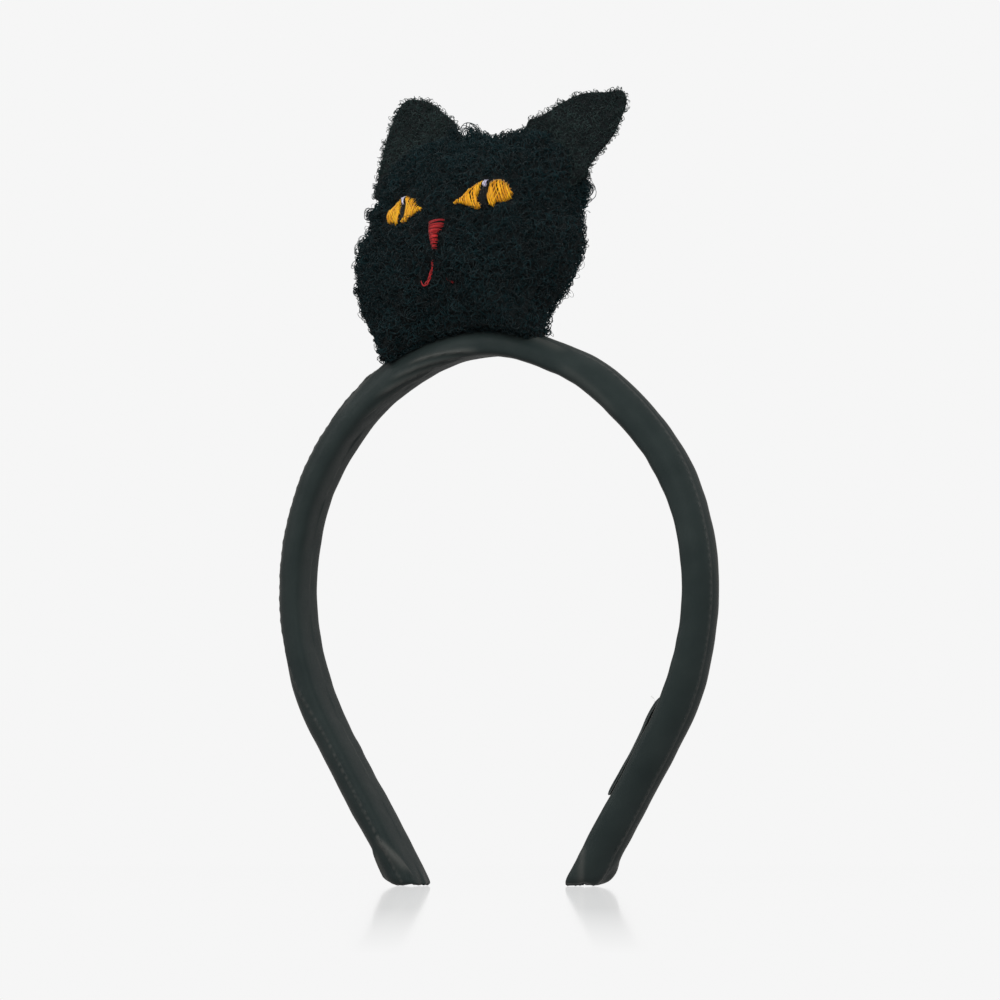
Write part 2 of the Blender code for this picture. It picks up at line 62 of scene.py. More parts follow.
# Camera: it stands low, in front and to the right, and aims at the middle of the object.
VIEW_TURN = math.radians(26.0)
VIEW_DISTANCE = 4.0
VIEW_HEIGHT = 20.0 * MM
VIEW_WIDTH = 280.0 * MM
AIM_HEIGHT = 108.0 * MM
AIM_ACROSS = 0.56 * MM
SENSOR_WIDTH = 36.0

# The band's reference line and section, the same as the frame's.
COVER_LOW, COVER_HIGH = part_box("cover_crown")
BAND_Y = (COVER_LOW.y + COVER_HIGH.y) / 2
BAND_WIDTH = COVER_HIGH.y - COVER_LOW.y
OUTER_RISE = 5.2 * MM
INNER_RISE = 3.0 * MM
INNER_POWER = 4.0
CROWN_RADIUS = 59.0 * MM
CROWN_SWEEP = math.radians(54.0)
SIDE_RADIUS = 76.0 * MM
LEG_TURN = math.radians(120.0)
FLEX_TURN = math.radians(44.0)
CROWN_CENTRE_Z = COVER_HIGH.z - OUTER_RISE - CROWN_RADIUS
CROWN_RUN = CROWN_RADIUS * CROWN_SWEEP
SIDE_RUN = SIDE_RADIUS * (LEG_TURN - CROWN_SWEEP)
SIDE_CENTRE_X = (CROWN_RADIUS - SIDE_RADIUS) * math.sin(CROWN_SWEEP)
SIDE_CENTRE_Z = CROWN_CENTRE_Z + (CROWN_RADIUS - SIDE_RADIUS) * math.cos(CROWN_SWEEP)
LEG_LENGTH = (SIDE_CENTRE_Z + SIDE_RADIUS * math.cos(LEG_TURN)) / math.sin(LEG_TURN)
FLEX_RUN = CROWN_RADIUS * FLEX_TURN
FULL_RUN = CROWN_RUN + SIDE_RUN + LEG_LENGTH
BEND_LENGTH = 42.0 * MM
SPLIT_RUN = FLEX_RUN - BEND_LENGTH / 2

# Where the worn band sags inside its true arch, and where its inner face bulges: middle along the
# arch, width and height, in millimetres.
SAGS = [(19, 13, 1.4), (44, 19, 1.5), (-45, 20, 0.5), (152, 26, -0.35), (-152, 26, -0.35)]
INNER_BULGES = [(-34, 26, 0.8), (48, 22, 1.4)]

# Satin sleeve
SATIN_WALL = 0.35 * MM
SATIN_STEP = 0.42 * MM
SECTION_COUNT = 84
SEAM_ANGLE = math.radians(18.0)
SEAM_FRONT_ANGLE = math.radians(88.0)
SEAM_TWIST = (100.0 * MM, 148.0 * MM)
SEAM_START = 26.0 * MM
SEAM_END = 184.0 * MM
STITCH_PITCH = 3.0 * MM
STITCH_LENGTH = 2.1 * MM
STITCH_INSET = 0.9 * MM
FOOT_LENGTH = 16.0 * MM
FOOT_LEVELLING = 40.0 * MM
FOOT_ROUNDING = 3.4 * MM
FOOT_TUCK = 0.24
FOOT_RAGGEDNESS = 0.5 * MM
FOOT_HOLLOW = 0.4 * MM
LINING_STEPS = 60

# Creases in the sleeve as (run, girth) of both ends, width and height, in millimetres. Girth runs
# from the middle of the outer face, below 0 towards the front. The first ones are dragged out of the
# crown's inner edge to its left shoulder, the last ones are the tucks at the feet.
DRAG_FOLDS = [
    ((-1, -11.8), (-27, -9.4), 0.4, 0.6),
    ((-4, -13.4), (-34, -10.6), 0.35, 0.45),
    ((-9, -15.0), (-41, -11.6), 0.4, 0.6),
    ((-19, -16.8), (-49, -13.2), 0.4, 0.5),
    ((-28, -3.0), (-52, -7.5), 0.5, 0.35),
    ((-27, 5.0), (-44, -5.5), 0.7, 0.4),
    ((-33, -1.0), (-58, -5.5), 0.9, 0.28),
    ((4, -3.6), (24, -4.6), 0.9, 0.35),
    ((22, -9.5), (50, -11.5), 1.0, 0.16),
    ((176, 11.0), (194, 3.5), 0.7, 0.6),
    ((182, -12.0), (195, -6.5), 0.7, 0.4),
    ((-178, -9.5), (-193, -13.5), 0.7, 0.6),
    ((-181, -7.0), (-195, -2.5), 0.8, 0.6),
    ((-180, 9.0), (-195, 5.0), 0.8, 0.5),
]

# Core, foam and label, the same as the frame's.
COVER_WALL = 0.6 * MM
GAP = 0.3 * MM
CORE_WIDTH = 8.6 * MM
CORE_THICKNESS = 1.4 * MM
CORE_TOP = -INNER_RISE + COVER_WALL + GAP + CORE_THICKNESS
FOAM_TAPER = 0.94
LABEL_RUN = (135.5 * MM, 167.5 * MM)
LABEL_WIDTH = 9.0 * MM
LABEL_WALL = 0.34 * MM

# Pile and embroidery
BACKING_WALL = 0.7 * MM
CURL_SPACING = 0.72 * MM
CURL_HEIGHT = 1.8 * MM
CURL_THICKNESS = 0.135 * MM
LOOP_SPACING = 1.6 * MM
LOOP_HEIGHT = 2.4 * MM
LOOP_THICKNESS = 0.075 * MM
PILE_PARTS = (19.0 * MM, 37.0 * MM)
TUFT_SIZE = 2.3 * MM
TUFT_PULL = 0.75
TUFT_THICKNESS = 0.11 * MM
EAR_SPACING = 0.52 * MM
EAR_PILE = 1.15 * MM
EAR_LAYER = 1.2 * MM
EAR_SLIT = 0.02 * MM
EAR_STEPS = 90
EAR_ROWS = 26
EAR_FIBRE = 0.10 * MM
STITCH_SPACING = 0.205
STITCH_POINTS = 8
THREAD = 0.12 * MM
EMBROIDERY_SHIFT = (0.5 * MM, -0.6 * MM, 0.0)
EYE_LIFT = 1.5
MOUTH_LIFT = 1.9
MOUTH_FAINT = 0.8
MOUTH_SUNK = -0.9

# Tufts: place and lean as (u, v, d) in millimetres, number of curls and their height. Each one grows
# from the fabric nearest to its place.
TUFTS = [
    ((1.6, 59.5, 0), (0.15, 1, 0), 90, 4.6),
    ((4.6, 59.0, 0), (0.4, 1, 0), 40, 3.2),
    ((-4.6, 58.8, 1), (-0.3, 1, 0), 30, 3.0),
    ((14, 58.0, 0), (0.2, 1, 0), 30, 2.2),
    ((37, 41, -5), (1, -0.55, 0), 40, 4.0),
    ((-35, 31.5, 0), (-1, 0.15, 0), 50, 3.0),
    ((-34, 25, 1), (-1, -0.1, 0), 26, 2.2),
    ((-33.2, 17, 1), (-1, -0.3, 0), 20, 2.2),
    ((-32.0, 43.0, 1), (-1, 0.4, 0), 26, 2.6),
]

# Light. Each lamp stands towards the camera, to the right and up from the object's middle, in metres,
# and has a size and a power.
MIDDLE_HEIGHT = 0.11
BACKDROP = 0.921
SURROUND = 0.31
FLOOR_ROUGHNESS = 0.03
FLOOR_FADE = [(0.0, 0.95), (0.43, 0.85), (0.70, 0.32), (0.89, 0.0)]
FLOOR_REACH = 2.2
LIGHTS = [
    ("front", 1.6, 0.0, 0.9, (1.6, 1.2), 32.0),
    ("top", -0.3, 0.0, 1.3, (1.2, 0.8), 1.6),
    ("right", -0.2, 1.1, 0.6, (0.4, 1.0), 1.2),
    ("left", 0.2, -1.1, 0.6, (0.4, 1.0), 3.0),
]

# Head: the same plane and outline as the frame's. u, v and d run across, up and out of the plane.
HEAD_BASE = Vector((-9.3 * MM, -6.0 * MM, 155.5 * MM))
HEAD_TURN = math.radians(-6.0)
HEAD_LEAN = math.radians(22.0)
HEAD_ROLL = math.radians(9.0)
HEAD_MIDDLE = (0.0, 28.0 * MM)
FACE_BULGE = 16.0 * MM
BACK_BULGE = 16.0 * MM
HEAD_SINK = 2.5 * MM
STUFFING_ROOM = 3.4 * MM

# Room left for the pile inside the outline, as (direction in degrees, inset in millimetres).
PILE_ROOM = [
    (-180, -0.2), (-150, -1.2), (-137, 0.0), (-122, 1.4), (-60, 2.2), (-45, 4.6), (-25, 1.3), (-8, -0.4),
    (8, -0.4), (18, -2.2), (29, -4.4), (40, -1.6), (52, 0.4), (75, 3.2), (88, 2.4), (98, 0.2), (108, 0.6),
    (125, 1.4), (140, 2.2), (151, 3.4), (157, 0.2), (165, 0.6), (173, 0.4),
]

# The lowest that the panels and the pile hang over the band, and the panels' rolled rim.
CHIN_REST = 4.6 * MM
PILE_REST = 3.4 * MM
RIM_START = 0.9
RIM_RATIO = 0.96
SEAM_PINCH = 0.03

# Outlines as (u, v) in millimetres. The cheek runs from the chin to the middle of the top.
CHEEK_OUTLINE = [
    (24.5, -4.5), (28, 5), (31, 13), (32.8, 21), (32.8, 28), (31, 36),
    (30, 43), (28.5, 50), (24, 56.5), (14, 60), (0, 60.5),
]
LEFT_EAR = [
    (-30.2, 47), (-30.4, 57), (-30.6, 64), (-29.9, 72), (-28.4, 77.6), (-26, 79.3),
    (-22.3, 78.3), (-17, 75.4), (-11.8, 70.6), (-7.5, 66.5), (-5.5, 62.5),
]
RIGHT_EAR = [
    (32.5, 39.5), (36.8, 43), (40.2, 48.5), (44.2, 53.2), (46.4, 58.5), (47.4, 63.5), (45.6, 66.8),
    (41.3, 66.9), (36.5, 67.5), (32, 67.1), (28, 65.4), (23.8, 63), (19.5, 61.8),
]
LEFT_EAR_LEAN = math.radians(14.0)
RIGHT_EAR_LEAN = math.radians(5.0)
EAR_BASE_SCALE = 0.975
EAR_GROWTH = 0.04

# Embroidery outlines in the plane of the face, in millimetres. The left eye mirrors the right one.
IRIS_INNER = [
    (5.2, 31.4), (7.2, 33.4), (9.5, 36.4), (12.3, 38.3), (12.2, 35.8), (11.8, 33.3),
    (11.8, 31.6), (12.9, 30.0), (11.6, 29.3), (9.6, 30.4), (7.1, 31.5),
]
IRIS_OUTER = [
    (15.0, 38.4), (17.4, 38.8), (19.6, 37.0), (20.6, 34.8), (20.3, 33.2), (18.6, 31.9),
    (16.6, 31.8), (15.9, 30.3), (14.8, 30.8), (14.2, 33.0), (14.6, 36.2),
]
PUPIL = [
    (12.5, 38.4), (14.6, 38.4), (14.4, 35.5), (14.0, 32.0),
    (14.4, 30.3), (12.7, 29.8), (12.0, 32.5), (12.3, 36),
]
GLINT = [(13.1, 38.6), (14.1, 38.5), (14.0, 36.3), (13.2, 36.2)]
NOSE = [
    (-2.6, 27.0), (2.5, 27.2), (2.2, 25.3), (0.7, 23.6),
    (0.3, 21.6), (-0.3, 18.9), (-1.5, 18.9), (-2.2, 22.4),
]
MOUTH_ROUTE = [
    (-6.3, 11.4), (-5.7, 10.1), (-4.2, 10.9), (-2.6, 13.2), (-1.2, 16.2),
    (0.2, 13.2), (1.9, 10.9), (3.4, 10.0), (4.2, 11.2),
]


# ---------------------------------------------------------------- numbers and meshes
def spaced(start, stop, steps):
    return [start + (stop - start) * step / steps for step in range(steps + 1)]


def ease(share):
    """Smooth step from 0 to 1."""
    share = np.clip(share, 0.0, 1.0)
    return share**2 * (3 - 2 * share)


def unit(vectors):
    return vectors / np.maximum(np.linalg.norm(vectors, axis=-1, keepdims=True), 1e-12)


def ripple(points, wavelength, seed, waves=14):
    """Smooth noise of unit strength over points, with features of about half a wavelength."""
    random = np.random.default_rng(seed)
    directions = unit(random.normal(size=(waves, points.shape[-1])))
    numbers = 2 * math.pi / (wavelength * random.uniform(0.7, 1.5, waves))
    phases = random.uniform(0, 2 * math.pi, waves)
    total = np.zeros(points.shape[:-1])
    for direction, number, phase in zip(directions, numbers, phases):
        total += np.sin(points @ direction * number + phase)
    return total * math.sqrt(2 / waves)


def grid_faces(rows, columns, wrap=False):
    """Quads over a grid of vertices stored row by row. wrap joins the last column to the first."""
    row, column = np.meshgrid(np.arange(rows - 1), np.arange(columns if wrap else columns - 1), indexing="ij")
    after = (column + 1) % columns
    first, next_row = row * columns, (row + 1) * columns
    return np.stack([first + column, first + after, next_row + after, next_row + column], -1).reshape(-1, 4)


def add_object(name, data):
    thing = bpy.data.objects.new(name, data)
    bpy.context.scene.collection.objects.link(thing)
    return thing


def add_mesh(name, vertices, faces, material, tone=None, uvs=None):
    """A mesh object from arrays. tone is a value per vertex and uvs a pair per vertex."""
    mesh = bpy.data.meshes.new(name)
    mesh.from_pydata(np.asarray(vertices).tolist(), [], [list(face) for face in faces])
    if tone is not None:
        mesh.attributes.new("tone", "FLOAT", "POINT").data.foreach_set("value", tone.astype(np.float32))
    if uvs is not None:
        corners = np.empty(len(mesh.loops), np.int32)
        mesh.loops.foreach_get("vertex_index", corners)
        mesh.uv_layers.new(name="cloth").data.foreach_set("uv", uvs[corners].astype(np.float32).ravel())
    mesh.shade_smooth()
    mesh.materials.append(material)
    return add_object(name, mesh)


def clean_up(piece, distance=0.002 * MM):
    """Welds coincident vertices and turns all faces outwards."""
    edit = bmesh.new()
    edit.from_mesh(piece.data)
    bmesh.ops.remove_doubles(edit, verts=edit.verts, dist=distance)
    bmesh.ops.recalc_face_normals(edit, faces=edit.faces)
    edit.to_mesh(piece.data)
    edit.free()
    return piece


def apply_modifiers(piece):
    """Replaces a piece's mesh by its evaluated mesh."""
    bpy.context.view_layer.update()
    shape = piece.evaluated_get(bpy.context.evaluated_depsgraph_get())
    mesh = bpy.data.meshes.new_from_object(shape)
    piece.modifiers.clear()
    piece.data = mesh
    return piece


def thicken(piece, thickness, offset=-1.0):
    """Gives a skin a wall, inwards from its surface unless offset says otherwise."""
    wall = piece.modifiers.new("wall", "SOLIDIFY")
    wall.thickness = thickness
    wall.offset = offset
    return apply_modifiers(piece)


def vertex_values(vectors, field):
    """A field of three values for each vertex, as an array."""
    values = np.empty(len(vectors) * 3)
    vectors.foreach_get(field, values)
    return values.reshape(-1, 3)


def dress(piece, body, node=None):
    """Says what a piece rides, and hides the CAD node it stands for."""
    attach(piece, body)
    if node:
        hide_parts(node)


def arc(steps):
    """A half wave from 0 up to 1 and back, over a number of points."""
    return np.sin(math.pi * np.linspace(0, 1, steps))


def add_tubes(name, paths, radii, sides, material, tone=None):
    """Closed round tubes along many paths: paths is (count, points, 3) and radii is (count, points)."""
    count, points = radii.shape
    tangents = unit(np.gradient(paths, axis=1))
    reference = unit(np.cross(tangents[:, 0], np.array([0.31, 0.52, 0.79])))
    turns = 2 * math.pi * np.arange(sides) / sides
    rings = np.empty((count, points, sides, 3))
    for place in range(points):
        tangent = tangents[:, place]
        reference = unit(reference - np.sum(reference * tangent, -1, keepdims=True) * tangent)
        across = np.cross(tangent, reference)
        arms = reference[:, None] * np.cos(turns)[:, None] + across[:, None] * np.sin(turns)[:, None]
        rings[:, place] = paths[:, place, None] + radii[:, place, None, None] * arms
    tube = grid_faces(points, sides, wrap=True)
    first = np.arange(count) * points * sides
    quads = (tube[None] + first[:, None, None]).reshape(-1, 4)
    start_caps = first[:, None] + np.arange(sides)[::-1]
    end_caps = first[:, None] + (points - 1) * sides + np.arange(sides)
    faces = quads.tolist() + start_caps.tolist() + end_caps.tolist()
    tones = None if tone is None else np.repeat(tone, points * sides)
    return add_mesh(name, rings.reshape(-1, 3), faces, material, tones)


# ---------------------------------------------------------------- materials
def new_material(name, roughness, **values):
    """A material with a Principled shader. Values are its sockets, with _ for spaces."""
    material = bpy.data.materials.new(name)
    material.use_nodes = True
    shader = material.node_tree.nodes["Principled BSDF"]
    shader.inputs["Roughness"].default_value = roughness
    for socket, value in values.items():
        shader.inputs[socket.replace("_", " ")].default_value = value
    return material


def add_node(material, kind, values=None, **settings):
    node = material.node_tree.nodes.new(kind)
    for setting, value in settings.items():
        setattr(node, setting, value)
    for socket, value in (values or {}).items():
        node.inputs[socket].default_value = value
    return node


def link(material, source, output, target, socket):
    material.node_tree.links.new(source.outputs[output], target.inputs[socket])


def shader_of(material):
    return material.node_tree.nodes["Principled BSDF"]


def noise(material, scale, detail=3.0, space="Object"):
    """Noise of a number of features to the metre, or to the UV unit."""
    place = add_node(material, "ShaderNodeTexCoord")
    texture = add_node(material, "ShaderNodeTexNoise", {"Scale": scale, "Detail": detail})
    link(material, place, space, texture, "Vector")
    return texture


def add_ramp(material, source, output, stops):
    """Turns a value into colour, through a list of (position, colour) stops."""
    ramp = add_node(material, "ShaderNodeValToRGB")
    elements = ramp.color_ramp.elements
    while len(elements) < len(stops):
        elements.new(0.5)
    for element, (position, colour) in zip(elements, stops):
        element.position = position
        element.color = (*colour, 1.0)
    link(material, source, output, ramp, "Fac")
    return ramp


def colour_ramp(material, source, output, stops):
    """Colours the shader by a value."""
    ramp = add_ramp(material, source, output, stops)
    link(material, ramp, "Color", shader_of(material), "Base Color")


def vary_roughness(material, source, low, high):
    spread = add_node(material, "ShaderNodeMapRange", {"To Min": low, "To Max": high})
    link(material, source, "Fac", spread, "Value")
    link(material, spread, "Result", shader_of(material), "Roughness")


def add_bump(material, source, output, strength, distance):
    """Bump from a height, on top of any bump that is already there."""
    bump = add_node(material, "ShaderNodeBump", {"Strength": strength, "Distance": distance})
    shader = shader_of(material)
    if shader.inputs["Normal"].links:
        before = shader.inputs["Normal"].links[0].from_node
        link(material, before, "Normal", bump, "Normal")
    link(material, source, output, bump, "Height")
    link(material, bump, "Normal", shader, "Normal")


def satin_material():
    """Black satin: a fine weave with long floats along the band, a soft gloss, and a painted highlight on
    fold crests and the seam ridge.
    """
    satin = new_material("satin", 0.48, IOR=1.3, Sheen_Weight=0.10, Sheen_Roughness=0.3)
    shader_of(satin).inputs["Sheen Tint"].default_value = (1.0, 0.9, 0.8, 1.0)
    cloudy = noise(satin, 90.0, 4.0)
    colour_ramp(satin, cloudy, "Fac", [(0.3, (0.0150, 0.0225, 0.0220)), (0.7, (0.0215, 0.0300, 0.0290))])
    # Painted highlight: a pale colour mixed into the satin's colour on fold crests and the seam ridge, by the
    # tone attribute.
    painted_crest_highlight = add_node(satin, "ShaderNodeMix", {7: (0.058, 0.062, 0.058, 1.0)}, data_type="RGBA")
    colours = shader_of(satin).inputs["Base Color"].links[0].from_node
    tone = add_node(satin, "ShaderNodeAttribute", attribute_name="tone")
    link(satin, tone, "Fac", painted_crest_highlight, "Factor")
    link(satin, colours, "Color", painted_crest_highlight, 6)
    link(satin, painted_crest_highlight, 2, shader_of(satin), "Base Color")
    vary_roughness(satin, cloudy, 0.36, 0.48)
    place = add_node(satin, "ShaderNodeTexCoord")
    for direction, scale, strength in (("X", 2.4, 0.10), ("Y", 4.0, 0.16)):
        threads = add_node(satin, "ShaderNodeTexWave", {"Scale": scale, "Distortion": 0.6, "Detail": 1.0})
        threads.bands_direction = direction
        link(satin, place, "UV", threads, "Vector")
        add_bump(satin, threads, "Fac", strength, 0.04 * MM)
    add_bump(satin, noise(satin, 1400.0, 2.0), "Fac", 0.12, 0.05 * MM)
    return satin


def toned_material(name, dark, light, roughness, grain, bump, **values):
    """A material whose fibres or threads each have a tone of their own."""
    material = new_material(name, roughness, **values)
    tone = add_node(material, "ShaderNodeAttribute", attribute_name="tone")
    colour_ramp(material, tone, "Fac", [(0.0, dark), (1.0, light)])
    add_bump(material, noise(material, *grain), "Fac", *bump)
    return material


def pile_material(name, dark, light):
    """Curly pile, dull and fine."""
    look = {"Specular_IOR_Level": 0.15, "Sheen_Weight": 0.06, "Sheen_Roughness": 0.5}
    return toned_material(name, dark, light, 0.85, (6000.0, 1.0), (0.2, 0.03 * MM), **look)


def backing_material():
    """The knitted backing that the pile stands on."""
    backing = new_material("pile_backing", 0.95)
    lumps = noise(backing, 700.0, 5.0)
    colour_ramp(backing, lumps, "Fac", [(0.3, (0.0025, 0.004, 0.0045)), (0.75, (0.009, 0.013, 0.0135))])
    add_bump(backing, noise(backing, 1800.0, 6.0), "Fac", 0.9, 0.5 * MM)
    return backing


def thread_material(name, dark, light, roughness=0.42):
    """Embroidery thread, with a silky gloss."""
    look = {"Sheen_Weight": 0.2, "Sheen_Roughness": 0.3}
    return toned_material(name, dark, light, roughness, (9000.0, 2.0), (0.35, 0.04 * MM), **look)


def plain_material(name, colours, roughness, scale, bump_scale, bump_depth, **values):
    """A speckled material with a fine bump, for the inner pieces."""
    material = new_material(name, roughness, **values)
    colour_ramp(material, noise(material, scale), "Fac", [(0.3, colours[0]), (0.7, colours[1])])
    add_bump(material, noise(material, bump_scale, 4.0), "Fac", 0.6, bump_depth)
    return material


MATERIALS = {
    "satin": satin_material(),
    "backing": backing_material(),
    "pile": pile_material("curly_pile", (0.0010, 0.0075, 0.0088), (0.0070, 0.0250, 0.0290)),
    "ear_pile": pile_material("ear_pile", (0.0075, 0.0160, 0.0155), (0.0260, 0.0460, 0.0440)),
    "amber": thread_material("amber_thread", (0.52, 0.17, 0.002), (1.0, 0.55, 0.012)),
    "black": thread_material("black_thread", (0.0008, 0.0018, 0.002), (0.003, 0.005, 0.0055), 0.7),
    "glint": thread_material("glint_thread", (0.42, 0.38, 0.58), (0.78, 0.75, 0.88)),
    "red": thread_material("red_thread", (0.22, 0.005, 0.008), (0.52, 0.026, 0.028)),
    "seam": thread_material("seam_thread", (0.015, 0.021, 0.021), (0.030, 0.037, 0.036)),
    "pale": thread_material("pale_thread", (0.55, 0.54, 0.52), (0.85, 0.84, 0.82)),
    "label": plain_material(
        "label_ribbon", [(0.034, 0.043, 0.042), (0.050, 0.058, 0.056)], 0.5, 600.0, 5000.0, 0.01 * MM
    ),
    "core": plain_material(
        "core_plastic", [(0.66, 0.67, 0.69), (0.74, 0.75, 0.77)], 0.32, 120.0, 900.0, 0.02 * MM
    ),
    "foam": plain_material("foam", [(0.52, 0.49, 0.38), (0.66, 0.62, 0.5)], 0.95, 900.0, 2600.0, 0.4 * MM),
    "filling": plain_material(
        "filling_fibre", [(0.72, 0.72, 0.7), (0.9, 0.9, 0.88)], 0.9, 500.0, 1500.0, 0.8 * MM, Sheen_Weight=0.3
    ),
    "glue": plain_material(
        "hot_glue", [(0.72, 0.66, 0.5), (0.84, 0.78, 0.62)], 0.3, 200.0, 700.0, 0.1 * MM, Coat_Weight=0.4
    ),
}


# ---------------------------------------------------------------- the arch
def arch(run):
    """x, z and outward turn of the reference line at signed distances from the crown."""
    side = np.where(run < 0, -1.0, 1.0)
    run = np.abs(run)
    on_crown = run <= CROWN_RUN
    turn = np.where(on_crown, run / CROWN_RADIUS, CROWN_SWEEP + (run - CROWN_RUN) / SIDE_RADIUS)
    turn = np.minimum(turn, LEG_TURN)
    leg = np.maximum(run - CROWN_RUN - SIDE_RUN, 0.0)
    radius = np.where(on_crown, CROWN_RADIUS, SIDE_RADIUS)
    x = np.where(on_crown, 0.0, SIDE_CENTRE_X) + radius * np.sin(turn) + leg * math.cos(LEG_TURN)
    z = np.where(on_crown, CROWN_CENTRE_Z, SIDE_CENTRE_Z) + radius * np.cos(turn) - leg * math.sin(LEG_TURN)
    return side * x, z, side * turn


def swells(run, table):
    """The sum of a table's soft swells at distances along the arch."""
    total = np.zeros_like(np.asarray(run, float))
    for centre, width, height in table:
        total += height * MM * np.exp(-(((run / MM - centre) / width) ** 2))
    return total


def sag(run):
    """How far the worn band lies inside the true arch at a distance along it."""
    return swells(run, SAGS)


def arch_points(run, out, y):
    """World points from distances along the arch, out of the reference line, and across the band."""
    run, out, y = np.broadcast_arrays(run, out, y)
    x, z, turn = arch(run)
    out = out - sag(run)
    return np.stack([x + out * np.sin(turn), BAND_Y + y, z + out * np.cos(turn)], -1)


def section_outline(angle, inset=0.0):
    """(out, y) of the D section. Angle 0 is the middle of the outer face, a quarter turn its back edge."""
    across = np.sin(angle)
    upright = np.cos(angle)
    power = 2 / INNER_POWER
    outer = upright >= 0
    inner_out = -(np.abs(upright) ** power) * (INNER_RISE - inset)
    out = np.where(outer, upright * (OUTER_RISE - inset), inner_out)
    side = np.where(outer, across, np.sign(across) * np.abs(across) ** power)
    return out, side * (BAND_WIDTH / 2 - inset)


DENSE_ANGLES = np.linspace(-math.pi, math.pi, 4001)
DENSE_SECTION = np.stack(section_outline(DENSE_ANGLES), -1)
DENSE_LENGTHS = np.concatenate([[0.0], np.cumsum(np.linalg.norm(np.diff(DENSE_SECTION, axis=0), axis=1))])
DENSE_LENGTHS -= DENSE_LENGTHS[-1] / 2
GIRTH = DENSE_LENGTHS[-1] * 2


def seam_angle(run):
    """How far round the section the seam lies. Low on the left arm it twists to the front edge."""
    share = np.where(run < 0, (np.abs(run) - SEAM_TWIST[0]) / (SEAM_TWIST[1] - SEAM_TWIST[0]), 0.0)
    return -(SEAM_ANGLE + (SEAM_FRONT_ANGLE - SEAM_ANGLE) * ease(share))


def section_at(girth):
    """(out, y) of the smooth section at distances round it."""
    return section_outline(np.interp(girth, DENSE_LENGTHS, DENSE_ANGLES))


def seam_girth(run):
    """How far round the section the seam lies, as a distance."""
    return np.interp(seam_angle(run), DENSE_ANGLES, DENSE_LENGTHS)


def fold(run, girth, start, stop, width, height):
    """A crease with a sharp and a soft flank, along a line from start to stop in (run, girth)."""
    start, stop = np.array(start) * MM, np.array(stop) * MM
    along = stop - start
    length = np.linalg.norm(along)
    share = ((run - start[0]) * along[0] + (girth - start[1]) * along[1]) / length**2
    off = ((run - start[0]) * along[1] - (girth - start[1]) * along[0]) / length
    width = np.where(off > 0, width * 1.8, width * 0.8) * MM
    ends = ease(share * 4) * ease((1 - share) * 4)
    return height * MM * ends * np.exp(-((off / width) ** 2))


def sleeve_relief(run, girth):
    """Height of the satin over its smooth section, from the foam, the seam, drag folds and the feet."""
    flat = np.stack([run, girth], -1)
    relief = 0.08 * MM * ripple(flat, 26 * MM, 3) + 0.03 * MM * ripple(flat, 8 * MM, 4)
    inner = ease((np.abs(girth) - GIRTH * 0.22) / (GIRTH * 0.22))
    across = flat * np.array([1.0, 0.22])
    relief += 0.03 * MM * inner * ripple(across, 5.5 * MM, 5)
    relief += inner * swells(run, INNER_BULGES)
    relief += 0.25 * MM * inner * ease((run - 60 * MM) / (20 * MM))
    relief += 0.35 * MM * ease((np.abs(run) - 110 * MM) / (25 * MM))
    past_seam = seam_girth(run) - girth
    on_arm = ease((np.abs(run) - FLEX_RUN * 0.55) / (6 * MM))
    lap = ease(past_seam / (0.5 * MM) + 0.5) * np.exp(-np.maximum(past_seam, 0) / (3.2 * MM))
    groove = np.exp(-((past_seam / (0.55 * MM)) ** 2))
    pucker = np.exp(-(((past_seam - 0.9 * MM) / (0.7 * MM)) ** 2)) * np.cos(2 * math.pi * run / STITCH_PITCH)
    relief += on_arm * (0.30 * MM * lap - 0.08 * MM * groove + 0.03 * MM * pucker)
    for start, stop, width, height in DRAG_FOLDS:
        relief += fold(run, girth, start, stop, width, height)
    foot = ease((np.abs(run) - FULL_RUN + FOOT_LENGTH) / FOOT_LENGTH)
    relief += foot * 0.16 * MM * ripple(flat * np.array([0.45, 1.0]), 6.5 * MM, 6)
    return relief


def crest(run, girth):
    """How much painted highlight the satin's colour gets on fold crests and the seam's ridge, from 0 to 1."""
    folds = [fold(run, girth, *values) for values in DRAG_FOLDS]
    past_seam = seam_girth(run) - girth
    fuzz = np.clip(0.5 + 0.4 * ripple(np.stack([run, girth], -1), 1.6 * MM, 17), 0, 1)
    ridge = np.exp(-(((past_seam - 0.5 * MM) / (0.45 * MM)) ** 2))
    ridge = ease((np.abs(run) - 16 * MM) / (14 * MM)) * ridge
    return np.clip(np.maximum(folds, 0).sum(0) / (0.55 * MM) + ridge * fuzz * 0.8, 0, 1)


def sleeve_runs(name):
    """Distances along the arch of the sleeve's rings, from the left or top end."""
    if name == "crown":
        return np.array(spaced(-SPLIT_RUN, SPLIT_RUN, round(2 * SPLIT_RUN / SATIN_STEP)))
    arm = np.array(spaced(SPLIT_RUN, FULL_RUN, round((FULL_RUN - SPLIT_RUN) / SATIN_STEP)))
    return arm if name == "right_arm" else -arm


def section_normal(lengths):
    """The section's outward normal at distances round it, as (out, y)."""
    ends = []
    for step in (0.2 * MM, -0.2 * MM):
        sides = [np.interp(lengths + step, DENSE_LENGTHS, side) for side in DENSE_SECTION.T]
        ends.append(np.stack(sides, -1))
    return unit((ends[0] - ends[1])[:, ::-1] * np.array([1.0, -1.0]))


